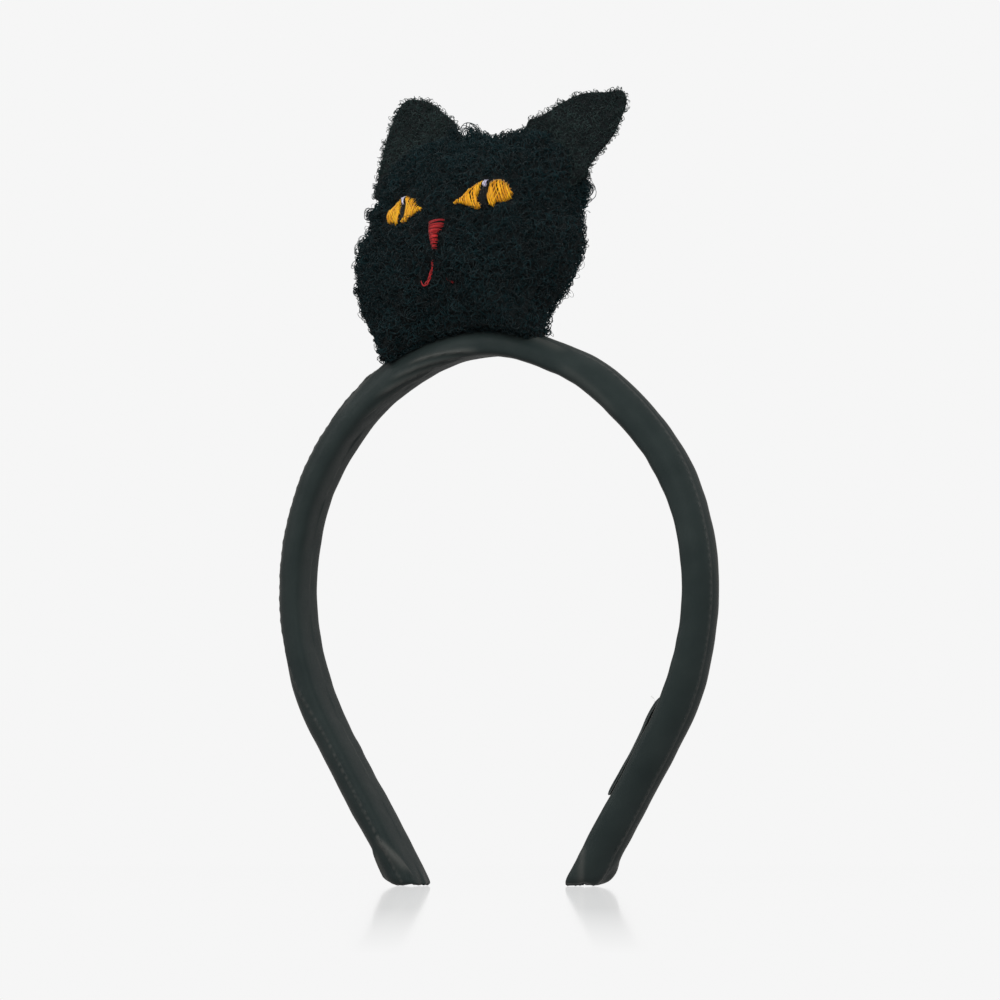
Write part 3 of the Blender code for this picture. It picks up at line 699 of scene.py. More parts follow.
def folded_foot(name, run, out, y, smooth):
    """An arm's rings, rounded and levelled at the foot, with rows of vertices that close the sole."""
    edge = np.clip((np.abs(run) - FULL_RUN) / FOOT_ROUNDING + 1, 0, 1)
    shrink = 1 - FOOT_TUCK * (1 - np.sqrt(1 - edge**2))
    near_foot = ease((np.abs(run) - FULL_RUN) / FOOT_LEVELLING + 1)
    level = -out * shrink * math.cos(LEG_TURN) / math.sin(LEG_TURN)
    run = run - np.sign(run) * near_foot * level
    vertices = arch_points(run, out * shrink, y * shrink)
    tucks = np.abs(ripple(smooth, 9 * MM, 8 if name == "left_arm" else 9))
    vertices[..., 2] += edge**3 * FOOT_RAGGEDNESS * tucks
    ring = vertices[-1]
    inner = []
    for share in (0.85, 0.7, 0.5, 0.3, 0.1):
        row = ring.mean(0) + (ring - ring.mean(0)) * share
        crumple = 0.2 * MM * ripple(row, 3 * MM, 10) * (1 - share)
        row[:, 2] = ring[:, 2] + FOOT_HOLLOW * (1 - share**2) + crumple
        inner.append(row)
    return run, np.concatenate([vertices, inner])


def build_sleeve(name):
    """The satin over the crown or over one arm, with a wall's thickness. An arm ends in a folded foot."""
    lengths = np.array(spaced(-GIRTH / 2, GIRTH / 2, SECTION_COUNT)[:-1])
    out, y = section_at(lengths)
    normal = section_normal(lengths)
    runs = sleeve_runs(name)
    run, girth = np.meshgrid(runs, lengths, indexing="ij")
    relief = sleeve_relief(run, girth)
    section_out = out + relief * normal[:, 0]
    section_y = y + relief * normal[:, 1]
    if name == "crown":
        vertices = arch_points(run, section_out, section_y)
    else:
        run, vertices = folded_foot(name, run, section_out, section_y, np.stack([out, y], -1))
    rows, columns = vertices.shape[:2]
    # shine holds the painted highlight on fold crests and the seam ridge, stored as the tone attribute.
    shine = np.zeros((rows, columns))
    shine[: len(runs)] = crest(run, girth)
    faces = grid_faces(rows, columns, wrap=True).tolist()
    if name != "crown":
        faces.append(list(range((rows - 1) * columns, rows * columns)))
    cloth = np.meshgrid(np.arange(rows) * SATIN_STEP / MM, lengths / MM, indexing="ij")
    uvs = np.stack(cloth, -1).reshape(-1, 2)
    places = vertices.reshape(-1, 3)
    sleeve = clean_up(add_mesh("satin_" + name, places, faces, MATERIALS["satin"], shine.ravel(), uvs))
    thicken(sleeve, SATIN_WALL)
    sleeve.data.set_sharp_from_angle(angle=math.radians(70))
    finish_band_piece(sleeve, name, "cover_" + name)


def finish_band_piece(piece, name, node):
    """Rides the crown, or for an arm has its transform baked in place, and takes the place of a CAD node."""
    if name == "crown":
        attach(piece, "crown")
    else:
        side = -1 if name == "left_arm" else 1
        hinge = Vector(arch_points(side * FLEX_RUN, 0.0, 0.0))
        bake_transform(piece)
    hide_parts(node)


def build_lining(name, part, section):
    """The core strip or the foam of one arm, swept along it and levelled at the foot like the sleeve."""
    side = -1 if name == "left_arm" else 1
    ends = (-SPLIT_RUN, SPLIT_RUN) if name == "crown" else (SPLIT_RUN, FULL_RUN)
    runs = np.array(spaced(*ends, LINING_STEPS))
    out, y = np.array(section).T
    run, out = np.meshgrid(runs, out, indexing="ij")
    near_foot = ease((run - FULL_RUN) / FOOT_LEVELLING + 1)
    run = run + near_foot * (out * math.cos(LEG_TURN) - COVER_WALL - GAP) / math.sin(LEG_TURN)
    vertices = arch_points(side * run, out, y)
    faces = grid_faces(len(runs), len(section), wrap=True).tolist()
    for start in (0, (len(runs) - 1) * len(section)):
        faces.append(list(range(start, start + len(section))))
    piece = clean_up(add_mesh(f"{part}_of_{name}", vertices.reshape(-1, 3), faces, MATERIALS[part]))
    piece.data.set_sharp_from_angle(angle=math.radians(40))
    return piece


def build_linings():
    """The plastic core and the foam pad on its outer side, swept along the arch like the sleeves."""
    base = CORE_TOP - CORE_THICKNESS
    half = CORE_WIDTH / 2
    edge = CORE_THICKNESS / 2
    core = []
    for angle in spaced(-math.pi / 2, math.pi / 2, 8):
        core.append((base + edge + edge * math.sin(angle), half - edge + edge * math.cos(angle)))
    core += [(out, -y) for out, y in reversed(core)]
    inset = COVER_WALL + GAP
    floor = CORE_TOP + GAP
    foam = []
    for angle in spaced(0.0, math.pi, 24):
        rise = (OUTER_RISE - inset - floor) * math.sin(angle)
        foam.append((floor + rise, (BAND_WIDTH / 2 - inset) * FOAM_TAPER * math.cos(angle)))
    for name in BODIES:
        strip = build_lining(name, "core", core)
        finish_band_piece(strip, name, "core_" + name)
        pad = build_lining(name, "foam", foam)
        finish_band_piece(pad, name, "foam_" + name)


def build_stitches(side):
    """The closing seam's stitches along one arm, each a short thread that dips into the satin."""
    name = "left_arm" if side < 0 else "right_arm"
    starts = np.arange(SEAM_START, SEAM_END, STITCH_PITCH)
    share = np.linspace(0, 1, 7)
    run = side * (starts[:, None] + share * STITCH_LENGTH)
    girth = seam_girth(run) - STITCH_INSET
    out, y = section_at(girth)
    rise = sleeve_relief(run, girth) + (0.10 * arc(7) - 0.09) * MM
    scale = 1 + rise / np.hypot(out, y)
    paths = arch_points(run, out * scale, y * scale)
    radii = np.full(run.shape, 0.08 * MM) * (0.7 + 0.3 * arc(7))
    tone = np.random.default_rng(20 + side).uniform(0.2, 1.0, len(starts))
    stitches = add_tubes("seam_stitches_" + name, paths, radii, 8, MATERIALS["seam"], tone)
    finish_band_piece(stitches, name, "seam_thread_" + name.split("_")[0])


def build_label():
    """The care label: a satin ribbon folded in two."""
    top, bottom = (value / MM for value in LABEL_RUN)
    route = [
        (top, -3.6), (top + 1.0, -4.1), (top + 3, -4.6), (top + 7, -4.7), (top + 12, -4.35),
        (top + 20, -4.25), (bottom - 5, -4.45), (bottom - 1.2, -4.35), (bottom - 0.1, -4.15),
        (bottom - 0.2, -3.95), (bottom - 1.6, -3.9), (top + 20, -3.95), (top + 12, -4.05),
        (top + 6, -4.3), (top + 2.5, -4.0), (top + 0.8, -3.65),
    ]
    fine = smooth_route(np.array(route) * MM, 90)
    half = LABEL_WIDTH / 2
    across = np.array(spaced(-half, half, 24))
    run, y = np.meshgrid(fine[:, 0], across, indexing="ij")
    out = np.repeat(fine[:, 1:2], len(across), 1)
    edge = 1 - (1 - np.abs(y / (BAND_WIDTH / 2)) ** INNER_POWER) ** (1 / INNER_POWER)
    lift = np.clip((run - LABEL_RUN[0]) / (5 * MM), 0, 1)
    out = out + INNER_RISE * edge + (0.18 - 0.38 * lift) * MM
    out = out + 0.05 * MM * ripple(np.stack([run, y], -1), 9 * MM, 12)
    places = arch_points(run, out, y).reshape(-1, 3)
    ribbon = add_mesh("label_ribbon", places, grid_faces(*run.shape), MATERIALS["label"])
    thicken(ribbon, LABEL_WALL, 0.0)
    dress(ribbon, "right_arm", "care_label")


def build_label_stitches():
    """Pale stitches across the label's top end, and the loose end of their thread."""
    top = LABEL_RUN[0] / MM
    half = LABEL_WIDTH / 2
    random = np.random.default_rng(13)
    count = 7
    share = np.linspace(0, 1, 9)
    start_y = np.linspace(-half + 1 * MM, half - 1.6 * MM, count)[:, None]
    y = start_y + share * 0.75 * MM
    run = top * MM + 1.2 * MM + random.uniform(-0.2, 0.2, (count, 1)) * MM + 0 * y
    out = np.full(y.shape, -4.18 * MM) - 0.30 * MM * arc(9)
    paths = arch_points(run, out, y)
    end_run = top * MM + (2.6 - 1.3 * share) * MM
    end_y = -half + (0.6 + 0.5 * np.sin(3 * share)) * MM
    loose = arch_points(end_run, -(4.6 + 2.0 * share) * MM, end_y)
    paths = np.concatenate([paths, loose[None]])
    radii = np.full(paths.shape[:2], 0.11 * MM) * (0.6 + 0.4 * arc(9))
    tone = random.uniform(0.2, 1, count + 1)
    stitches = add_tubes("label_stitches", paths, radii, 6, MATERIALS["pale"], tone)
    dress(stitches, "right_arm", "label_thread")


# ---------------------------------------------------------------- the head's form
def smooth_route(points, steps):
    """Evenly shared points on a Catmull-Rom curve through the given ones."""
    points = np.asarray(points, float)
    ends = np.concatenate([points[:1], points, points[-1:]])
    place = np.linspace(0, len(points) - 1, steps + 1)
    first = np.minimum(place.astype(int), len(points) - 2)
    t = (place - first)[:, None]
    before, start, stop, after = (ends[first + step] for step in range(4))
    cubic = 3 * start - before - 3 * stop + after
    square = 2 * before - 5 * start + 4 * stop - after
    return start + ((stop - before) * t + square * t**2 + cubic * t**3) / 2


def head_matrix():
    turn = Matrix.Rotation(HEAD_TURN, 4, "Z")
    lean = Matrix.Rotation(math.pi / 2 - HEAD_LEAN, 4, "X")
    roll = Matrix.Rotation(HEAD_ROLL, 4, "Z")
    return Matrix.Translation(HEAD_BASE + Vector((0, BAND_Y, 0))) @ turn @ lean @ roll


HEAD_AXES = np.array(head_matrix())


def to_world(local, axes=HEAD_AXES):
    return local @ axes[:3, :3].T + axes[:3, 3]


def to_head(points):
    return (points - HEAD_AXES[:3, 3]) @ HEAD_AXES[:3, :3]


def head_outline(cheek_steps, chin_steps):
    """The head's seam outline as (u, v), anticlockwise from the right corner of the chin."""
    right = np.array(CHEEK_OUTLINE) * MM
    left = (right * np.array([-1, 1]))[-2::-1]
    outline = smooth_route(np.concatenate([right, left]), cheek_steps)[1:-1]
    chin_u = np.array(spaced(-right[0, 0], right[0, 0], chin_steps))
    x = HEAD_BASE.x + chin_u * HEAD_AXES[0, 0]
    top = CROWN_CENTRE_Z + np.sqrt((CROWN_RADIUS + OUTER_RISE) ** 2 - x**2) - HEAD_SINK
    chin = np.stack([chin_u, (top - HEAD_BASE.z - chin_u * HEAD_AXES[2, 0]) / HEAD_AXES[2, 1]], -1)
    return np.concatenate([chin[-1:], outline, chin[:-1]])


FRAME_OUTLINE = head_outline(220, 56)
MIDDLE = np.array(HEAD_MIDDLE)


def inset_outline(outline):
    """The outline drawn in to leave room for the pile, by amounts that depend on the direction."""
    spokes = outline - MIDDLE
    angles = np.degrees(np.arctan2(spokes[:, 1], spokes[:, 0]))
    inset = np.interp(angles, *np.array(PILE_ROOM).T, period=360) * MM
    reach = np.linalg.norm(spokes, axis=1)
    return MIDDLE + spokes * (1 - inset / reach)[:, None]


OUTLINE = inset_outline(FRAME_OUTLINE)


def outline_reach(angles):
    """The outline's distance from the head's middle in given directions."""
    spokes = OUTLINE - MIDDLE
    polar = np.arctan2(spokes[:, 1], spokes[:, 0])
    order = np.argsort(polar)
    return np.interp(angles, polar[order], np.linalg.norm(spokes[order], axis=1), period=2 * math.pi)


def rim_ratio(places):
    """How far (u, v) places lie from the head's middle, as a share of the way to the outline."""
    rays = places - MIDDLE
    return np.linalg.norm(rays, axis=1) / outline_reach(np.arctan2(rays[:, 1], rays[:, 0]))


def face_bulge(ratio):
    """How far the face stands out, by the share of the way from the middle to the rim."""
    return FACE_BULGE * (1 - ratio**2)


def back_bulge(ratio):
    """How far the back stands out: flatter in the middle than the face."""
    return BACK_BULGE * np.cbrt(np.maximum(1 - ratio**3, 0))


def face_height(places):
    """Height d of the face panel's base over the head's plane."""
    return face_bulge(np.minimum(rim_ratio(places), 1.0))


def clear_of_band(points, gap, rest):
    """Lifts points off the band. The head rests on the band's ridge and hangs no lower than rest."""
    points = points.copy()
    x, z = points[:, 0], points[:, 2] - CROWN_CENTRE_Z
    turn = np.arctan2(x, z)
    slump = sag(turn * CROWN_RADIUS)
    out = np.hypot(x, z) - CROWN_RADIUS + slump
    across = np.clip((points[:, 1] - BAND_Y) / (BAND_WIDTH / 2 + gap), -1, 1)
    out = np.maximum(out, np.maximum((OUTER_RISE + gap) * np.sqrt(1 - across**2), rest))
    out = out - slump
    points[:, 0] = (CROWN_RADIUS + out) * np.sin(turn)
    points[:, 2] = CROWN_CENTRE_Z + (CROWN_RADIUS + out) * np.cos(turn)
    return points


def build_panel(name, sign, bulge_rule, node):
    """One panel of the head: a lumpy skin bulging to one side, rolled in at the seam and on the band."""
    rings, columns = 56, len(OUTLINE)
    share = np.linspace(0, 1, rings + 1)[1:]
    rim = np.clip((share - RIM_START) / (1 - RIM_START), 0, 1)
    reach = np.minimum(share / RIM_START, 1.0) - SEAM_PINCH * rim**2
    depth = bulge_rule(np.minimum(share / RIM_START, 1.0) * RIM_RATIO) * (1 - rim**2)
    spokes = OUTLINE - MIDDLE
    local = np.empty((rings, columns, 3))
    local[..., :2] = MIDDLE + spokes[None] * reach[:, None, None]
    local[..., 2] = sign * (depth[:, None] + 0.15 * MM)
    lumps = 0.28 * MM * ripple(local, 5.5 * MM, 31) + 0.20 * MM * ripple(local, 2.6 * MM, 32)
    local[..., 2] += sign * lumps * (1 - rim[:, None] ** 2)
    crown = np.array([[*MIDDLE, sign * (bulge_rule(np.zeros(1))[0] + 0.15 * MM)]])
    vertices = to_world(np.concatenate([crown, local.reshape(-1, 3)]))
    vertices = clear_of_band(vertices, 0.25 * MM, CHIN_REST)
    faces = (grid_faces(rings, columns, wrap=True)[:, ::-1] + 1).tolist()
    faces += [[0, 1 + column, 1 + (column + 1) % columns] for column in range(columns)]
    if sign < 0:
        faces = [face[::-1] for face in faces]
    panel = add_mesh(name, vertices, faces, MATERIALS["backing"])
    triangles = surface_triangles(panel)
    thicken(panel, BACKING_WALL)
    dress(panel, "crown", node)
    return triangles


def surface_triangles(piece):
    """The corners of a piece's triangles, as (count, 3, 3)."""
    mesh = piece.data
    mesh.calc_loop_triangles()
    corners = np.empty(len(mesh.loop_triangles) * 3, np.int32)
    mesh.loop_triangles.foreach_get("vertices", corners)
    return vertex_values(mesh.vertices, "co")[corners].reshape(-1, 3, 3)


def scatter(triangles, spacing, seed):
    """Evenly spread random points on triangles, with the surface's normals there."""
    random = np.random.default_rng(seed)
    cross = np.cross(triangles[:, 1] - triangles[:, 0], triangles[:, 2] - triangles[:, 0])
    areas = np.linalg.norm(cross, axis=1) / 2
    tries = int(areas.sum() / spacing**2 * 4)
    chosen = random.choice(len(areas), tries, p=areas / areas.sum())
    first, second = random.uniform(size=(2, tries, 1))
    over = first + second > 1
    first, second = np.where(over, 1 - first, first), np.where(over, 1 - second, second)
    corner, edge, other = triangles[chosen, 0], triangles[chosen, 1], triangles[chosen, 2]
    points = corner + (edge - corner) * first + (other - corner) * second
    cells = {}
    kept = []
    for index, key in enumerate(map(tuple, np.floor(points / spacing).astype(int))):
        around = product(*[(value - 1, value, value + 1) for value in key])
        near = [place for cell in around for place in cells.get(cell, ())]
        if near and min(np.linalg.norm(points[index] - points[near], axis=1)) < spacing * 0.8:
            continue
        cells.setdefault(key, []).append(index)
        kept.append(index)
    return points[kept], unit(cross[chosen[kept]])


# ---------------------------------------------------------------- pile
def outline_distance(places, outline):
    """Distance from (u, v) places to an outline, below 0 inside it."""
    starts = np.asarray(outline, float) * MM
    edges = np.roll(starts, -1, axis=0) - starts
    offsets = places[:, None] - starts[None]
    share = np.clip(np.sum(offsets * edges, -1) / np.sum(edges**2, -1), 0, 1)
    distance = np.linalg.norm(offsets - share[..., None] * edges, axis=-1).min(1)
    level = places[:, None, 1]
    above = (starts[None, :, 1] > level) != (np.roll(starts, -1, axis=0)[None, :, 1] > level)
    rise = np.where(edges[:, 1] == 0, 1e-12, edges[:, 1])
    crossing = starts[None, :, 0] + (places[:, None, 1] - starts[None, :, 1]) / rise * edges[None, :, 0]
    inside = np.sum(above & (places[:, None, 0] < crossing), 1) % 2 == 1
    return np.where(inside, -distance, distance)


def curl_paths(roots, normals, heights, turns, points, random):
    """Curls that lie on a surface: loose coils whose axes lie nearly along it, at all angles."""
    count = len(roots)
    along = unit(np.cross(normals, random.normal(size=(count, 3))))
    across = np.cross(normals, along)
    tilt = random.normal(0, 0.35, (count, 1))
    axis = along * np.cos(tilt) + normals * np.sin(tilt)
    upright = normals * np.cos(tilt) - along * np.sin(tilt)
    radius = heights * random.uniform(0.38, 0.55, count)
    share = np.linspace(0, 1, points)
    angle = -0.6 * math.pi + 2 * math.pi * turns[:, None] * share
    swing = random.uniform(0.7, 1.15, (count, 1)) * radius[:, None]
    middle = heights * random.uniform(0.35, 0.6, count)
    length = heights * random.uniform(0.5, 1.4, count)
    drift = (share - 0.5) * length[:, None]
    up = middle[:, None] * ease(share * 3) * ease((1.15 - share) * 3) + swing * np.sin(angle)
    side = swing * np.cos(angle) * (1 + 0.3 * np.sin(3 * share + turns[:, None]))
    paths = roots[:, None] + drift[..., None] * axis[:, None]
    return paths + up[..., None] * upright[:, None] + side[..., None] * across[:, None]


def gather(paths, roots, normals, heights, random):
    """Draws the curls of each tuft towards its middle and leans them one way. Tells each curl's tuft."""
    middles = np.full(roots.shape, 9.0)
    found = 0
    for root in random.permutation(roots):
        if found == 0 or np.linalg.norm(middles[:found] - root, axis=1).min() > TUFT_SIZE:
            middles[found] = root
            found += 1
    tree = KDTree(found)
    for index in range(found):
        tree.insert(middles[index], index)
    tree.balance()
    own = np.array([tree.find(root)[1] for root in roots])
    rise = np.sum((paths - roots[:, None]) * normals[:, None], -1) / (1.5 * heights[:, None])
    rise = np.clip(rise, 0, 1)[..., None]
    lean = random.normal(0, 0.45, (found, 3))[own] * heights[:, None]
    lean -= normals * np.sum(lean * normals, -1, keepdims=True)
    draw = (middles[own] - roots) * TUFT_PULL
    lift = random.uniform(-0.3, 0.4, found)[own][:, None, None] * heights[:, None, None] * normals[:, None]
    return paths + rise * draw[:, None] + rise**2 * lean[:, None] + rise * lift, own


def add_pile(name, roots, normals, heights, thickness, seed, points, coils, material="pile"):
    """A curl on each root, kept clear of the band. Its tone follows patches of the fabric."""
    random = np.random.default_rng(seed)
    turns = random.uniform(*coils, len(roots))
    curls = curl_paths(roots, normals, heights, turns, points, random)
    paths, own = gather(curls, roots, normals, heights, random)
    taper = 0.35 + 0.65 * arc(points) ** 0.6
    radii = thickness * random.uniform(0.7, 1.25, (len(roots), 1)) * taper
    paths = clear_of_band(paths.reshape(-1, 3), thickness * 1.3, PILE_REST).reshape(paths.shape)
    patches = 0.14 * ripple(roots, 9 * MM, seed + 1) + random.normal(0, 0.16, own.max() + 1)[own]
    tone = np.clip(0.4 + patches + random.normal(0, 0.14, len(roots)), 0, 1)
    pile = add_tubes(name, paths, radii, 3, MATERIALS[material], tone)
    dress(pile, "crown")


def make_room(places, heights, outlines, reach, least):
    """Shortens pile beside embroidery, and tells which roots stay clear of it."""
    kept = np.ones(len(places), bool)
    for outline in outlines:
        distance = outline_distance(places, outline)
        kept &= distance > 0.45 * MM
        heights = heights * (least + (1 - least) * ease((distance - 0.5 * MM) / reach))
    return heights, kept


def mirrored(outline):
    return [(-u, v) for u, v in outline]


EMBROIDERY = [IRIS_INNER, IRIS_OUTER, PUPIL, NOSE]
EMBROIDERY += [mirrored(outline) for outline in EMBROIDERY[:3]]


def pile_heights(name, places, height, random):
    """Pile heights on one panel, and which roots are used: short at the seam and beside embroidery."""
    rim = rim_ratio(places)
    heights = height * (0.4 + 0.6 * ease((1.02 - rim) / 0.09)) * random.uniform(0.7, 1.3, len(places))
    kept = np.ones(len(places), bool)
    if name == "face":
        heights, kept = make_room(places, heights, EMBROIDERY, 2.4 * MM, 0.35)
        mouth = smooth_route(np.array(MOUTH_ROUTE[:5]) * MM, 16)
        near = np.linalg.norm(places[:, None] - mouth[None], axis=-1).min(1)
        heights *= 0.3 + 0.7 * ease((near - 0.3 * MM) / (1.8 * MM))
    return heights, kept


def build_head_pile(name, triangles, seed):
    """Curls all over one panel, and longer thin loops that stand out of them."""
    layers = (
        ("curls", CURL_SPACING, CURL_HEIGHT, CURL_THICKNESS, 10, (0.45, 1.0)),
        ("loops", LOOP_SPACING, LOOP_HEIGHT, LOOP_THICKNESS, 13, (0.4, 1.0)),
    )
    for layer, spacing, height, thickness, points, coils in layers:
        seed += 10
        roots, normals = scatter(triangles, spacing, seed)
        random = np.random.default_rng(seed + 1)
        places = to_head(roots)[:, :2]
        heights, kept = pile_heights(name, places, height, random)
        band = np.digitize(places[:, 1], PILE_PARTS)
        for number, part in enumerate(("lower", "middle", "upper")):
            chosen = kept & (band == number)
            curls = (roots[chosen], normals[chosen], heights[chosen])
            add_pile(f"{name}_{layer}_{part}", *curls, thickness, seed + 2, points, coils)
            seed += 3


def build_tufts(triangles):
    """Loose tufts that break the head's outline: on top, at the right side and on the left cheek."""
    random = np.random.default_rng(300)
    roots, normals, heights = [], [], []
    for place, lean, count, height in TUFTS:
        centre = to_world(np.array([place]) * MM)[0]
        reach = np.linalg.norm(triangles.mean(1) - centre, axis=1)
        spots, facing = scatter(triangles[reach < reach.min() + 5 * MM], 0.3 * MM, 302)
        near = np.argsort(np.linalg.norm(spots - centre, axis=1))[:count]
        roots.append(spots[near])
        leans = unit(np.array(lean, float)) @ HEAD_AXES[:3, :3].T + random.normal(0, 0.2, (len(near), 3))
        normals.append(unit(leans + 0.4 * facing[near]))
        heights.append(height * MM * random.uniform(0.6, 1.15, len(near)))
    curls = [np.concatenate(values) for values in (roots, normals, heights)]
    add_pile("tufts", *curls, TUFT_THICKNESS, 301, 15, (0.7, 1.5))


def ear_axes(points, lean):
    first = Vector((*points[0], 0)) * MM
    last = Vector((*points[-1], 0)) * MM
    axis = (last - first).normalized()
    tilt = Matrix.Rotation(lean if axis.x < 0 else -lean, 4, axis)
    return np.array(head_matrix() @ Matrix.Translation(first) @ tilt @ Matrix.Translation(-first))


def ear_sheet(points):
    """(u, v) of an ear's rows from its base on the head to its sewn edge, their shares and spans."""
    outer = smooth_route(np.array(points) * MM, EAR_STEPS)
    outer += (outer - outer[[0, -1]].mean(0)) * EAR_GROWTH
    ends = np.arctan2(outer[[0, -1], 1] - MIDDLE[1], outer[[0, -1], 0] - MIDDLE[0])
    angles = ends[0] + (ends[1] - ends[0]) * np.linspace(0, 1, EAR_STEPS + 1)
    rays = np.stack([np.cos(angles), np.sin(angles)], -1)
    base = MIDDLE + rays * (outline_reach(angles) * EAR_BASE_SCALE)[:, None]
    share = np.sin(np.linspace(0, math.pi / 2, EAR_ROWS + 1))
    flat = base[None] * (1 - share)[:, None, None] + outer[None] * share[:, None, None]
    return flat, share, np.linalg.norm(outer - base, axis=1)


def closed_sheet(rows, columns):
    """Quads over a grid of vertices, and all faces of the shell that it makes with its underside."""
    quads = grid_faces(rows, columns)
    under = rows * columns
    faces = np.concatenate([quads, quads[:, ::-1] + under]).tolist()
    ring = list(range(columns))
    ring += [row * columns + columns - 1 for row in range(1, rows)]
    ring += [(rows - 1) * columns + step for step in range(columns - 2, -1, -1)]
    ring += [row * columns for row in range(rows - 2, 0, -1)]
    for start, stop in zip(ring, ring[1:] + ring[:1]):
        faces.append([start, stop, stop + under, start + under])
    return quads, faces


def facing(triangles, direction):
    """Triangles turned so that their normals lie towards a direction."""
    edges = (triangles[:, 1] - triangles[:, 0], triangles[:, 2] - triangles[:, 0])
    away = np.sum(np.cross(*edges) * direction, -1) < 0
    return np.where(away[:, None, None], triangles[:, ::-1], triangles)


def build_ear(name, points, lean, seed):
    """Two layers of one ear, sewn along the edge, each with short pile on its outer side."""
    axes = ear_axes(points, lean)
    flat, share, span = ear_sheet(points)
    quads, faces = closed_sheet(*flat.shape[:2])
    thin = np.sqrt(np.clip(span / (5 * MM), 0.02, 1))
    profile = np.sqrt(np.clip(1 - share**5, 0, 1))[:, None] * thin[None]
    piping = np.exp(-(((1 - share)[:, None] * span[None] - 2.6 * MM) / (0.8 * MM)) ** 2)
    for layer, side in (("front", 1), ("back", -1)):
        height = (0.12 * MM + EAR_LAYER * profile) - 0.25 * MM * piping * profile
        height += 0.12 * MM * ripple(flat, 4.5 * MM, seed) * profile
        top = np.concatenate([flat, side * height[..., None]], -1).reshape(-1, 3)
        under = np.concatenate([flat, np.full((*flat.shape[:2], 1), side * EAR_SLIT)], -1)
        vertices = to_world(np.concatenate([top, under.reshape(-1, 3)]), axes)
        panel = clean_up(add_mesh(f"{name}_ear_{layer}_panel", vertices, faces, MATERIALS["backing"]))
        dress(panel, "crown", f"{name}_ear_{layer}")
        corner = to_world(top, axes)[quads]
        triangles = np.concatenate([corner[:, [0, 1, 2]], corner[:, [0, 2, 3]]])
        triangles = facing(triangles, side * axes[:3, 2])
        roots, normals = scatter(triangles, EAR_SPACING, seed + 1 + side)
        random = np.random.default_rng(seed + 5 + side)
        curls = (roots, normals, EAR_PILE * random.uniform(0.6, 1.3, len(roots)))
        add_pile(f"{name}_ear_{layer}_pile", *curls, EAR_FIBRE, seed + 8 + side, 8, (0.3, 0.7), "ear_pile")


def satin_stitches(outline, angle, spacing, lift, seed, crown=0.3, overshoot=0.25):
    """Stitch paths across an outline in the face's plane, lying side by side over the pile's backing."""
    random = np.random.default_rng(seed)
    points = np.array(outline, float)
    turn = math.radians(angle)
    along = np.array([math.cos(turn), math.sin(turn)])
    across = np.array([-along[1], along[0]])
    starts = np.stack([points @ along, points @ across], -1)
    stops = np.roll(starts, -1, axis=0)
    paths = []
    for row in np.arange(starts[:, 1].min() + spacing / 2, starts[:, 1].max(), spacing):
        crossing = (starts[:, 1] > row) != (stops[:, 1] > row)
        share = (row - starts[crossing, 1]) / (stops[crossing, 1] - starts[crossing, 1])
        edges = np.sort(starts[crossing, 0] + share * (stops[crossing, 0] - starts[crossing, 0]))
        for low, high in zip(edges[::2], edges[1::2]):
            low, high = low - random.uniform(-0.1, overshoot), high + random.uniform(-0.1, overshoot)
            if high - low < 0.5:
                continue
            place = np.linspace(low, high, STITCH_POINTS)
            shift = random.normal(0, 0.06)
            drift = row + shift + np.linspace(0, 1, STITCH_POINTS) * random.normal(0, 0.30)
            flat = place[:, None] * along + drift[:, None] * across
            bow = arc(STITCH_POINTS) ** 0.6
            rise = lift - 0.55 + 0.55 * bow + crown * bow + random.normal(0, 0.05)
            height = face_height(flat * MM) + rise * MM
            paths.append(np.concatenate([flat * MM, height[:, None]], -1))
    return np.array(paths)


def add_embroidery(name, node, paths, material, seed, thickness=THREAD):
    """Threads along stitch paths."""
    random = np.random.default_rng(seed)
    radii = thickness * (0.75 + 0.25 * arc(paths.shape[1]))
    radii = radii * random.uniform(0.88, 1.12, (len(paths), 1))
    tone = random.uniform(0, 1, len(paths))
    paths = paths + np.array(EMBROIDERY_SHIFT)
    stitches = add_tubes(name, to_world(paths), radii, 6, MATERIALS[material], tone)
    dress(stitches, "crown", node)


def build_eye(name, mirror, seed):
    """The iris in two halves, each laid twice, then the pupil and the glint."""
    def shaped(outline):
        return mirrored(outline) if mirror else outline

    def turned(angle):
        return 180 - angle if mirror else angle

    layers = [
        ("iris", IRIS_INNER, 102, STITCH_SPACING, 0.0, 0),
        ("iris", IRIS_OUTER, 104, STITCH_SPACING, 0.0, 1),
        ("iris", IRIS_INNER, 62, STITCH_SPACING * 4.5, 0.15, 2),
        ("iris", IRIS_OUTER, 66, STITCH_SPACING * 4.5, 0.15, 3),
        ("pupil", PUPIL, 95, STITCH_SPACING, -0.5, 4),
        ("pupil", PUPIL, 88, 0.4, -0.7, 9),
        ("glint", GLINT, 96, STITCH_SPACING * 0.9, 0.25, 6),
    ]
    for part, material, number in (("iris", "amber", 0), ("pupil", "black", 5), ("glint", "glint", 7)):
        overshoot = 0.1 if part == "glint" else 0.25
        paths = []
        for owner, outline, angle, spacing, lift, offset in layers:
            if owner == part:
                laid = (shaped(outline), turned(angle), spacing, EYE_LIFT + lift, seed + offset)
                paths.append(satin_stitches(*laid, overshoot=overshoot))
        paths = np.concatenate(paths)
        add_embroidery(f"{name}_{part}_stitches", f"{name}_eye_{part}", paths, material, seed + number)


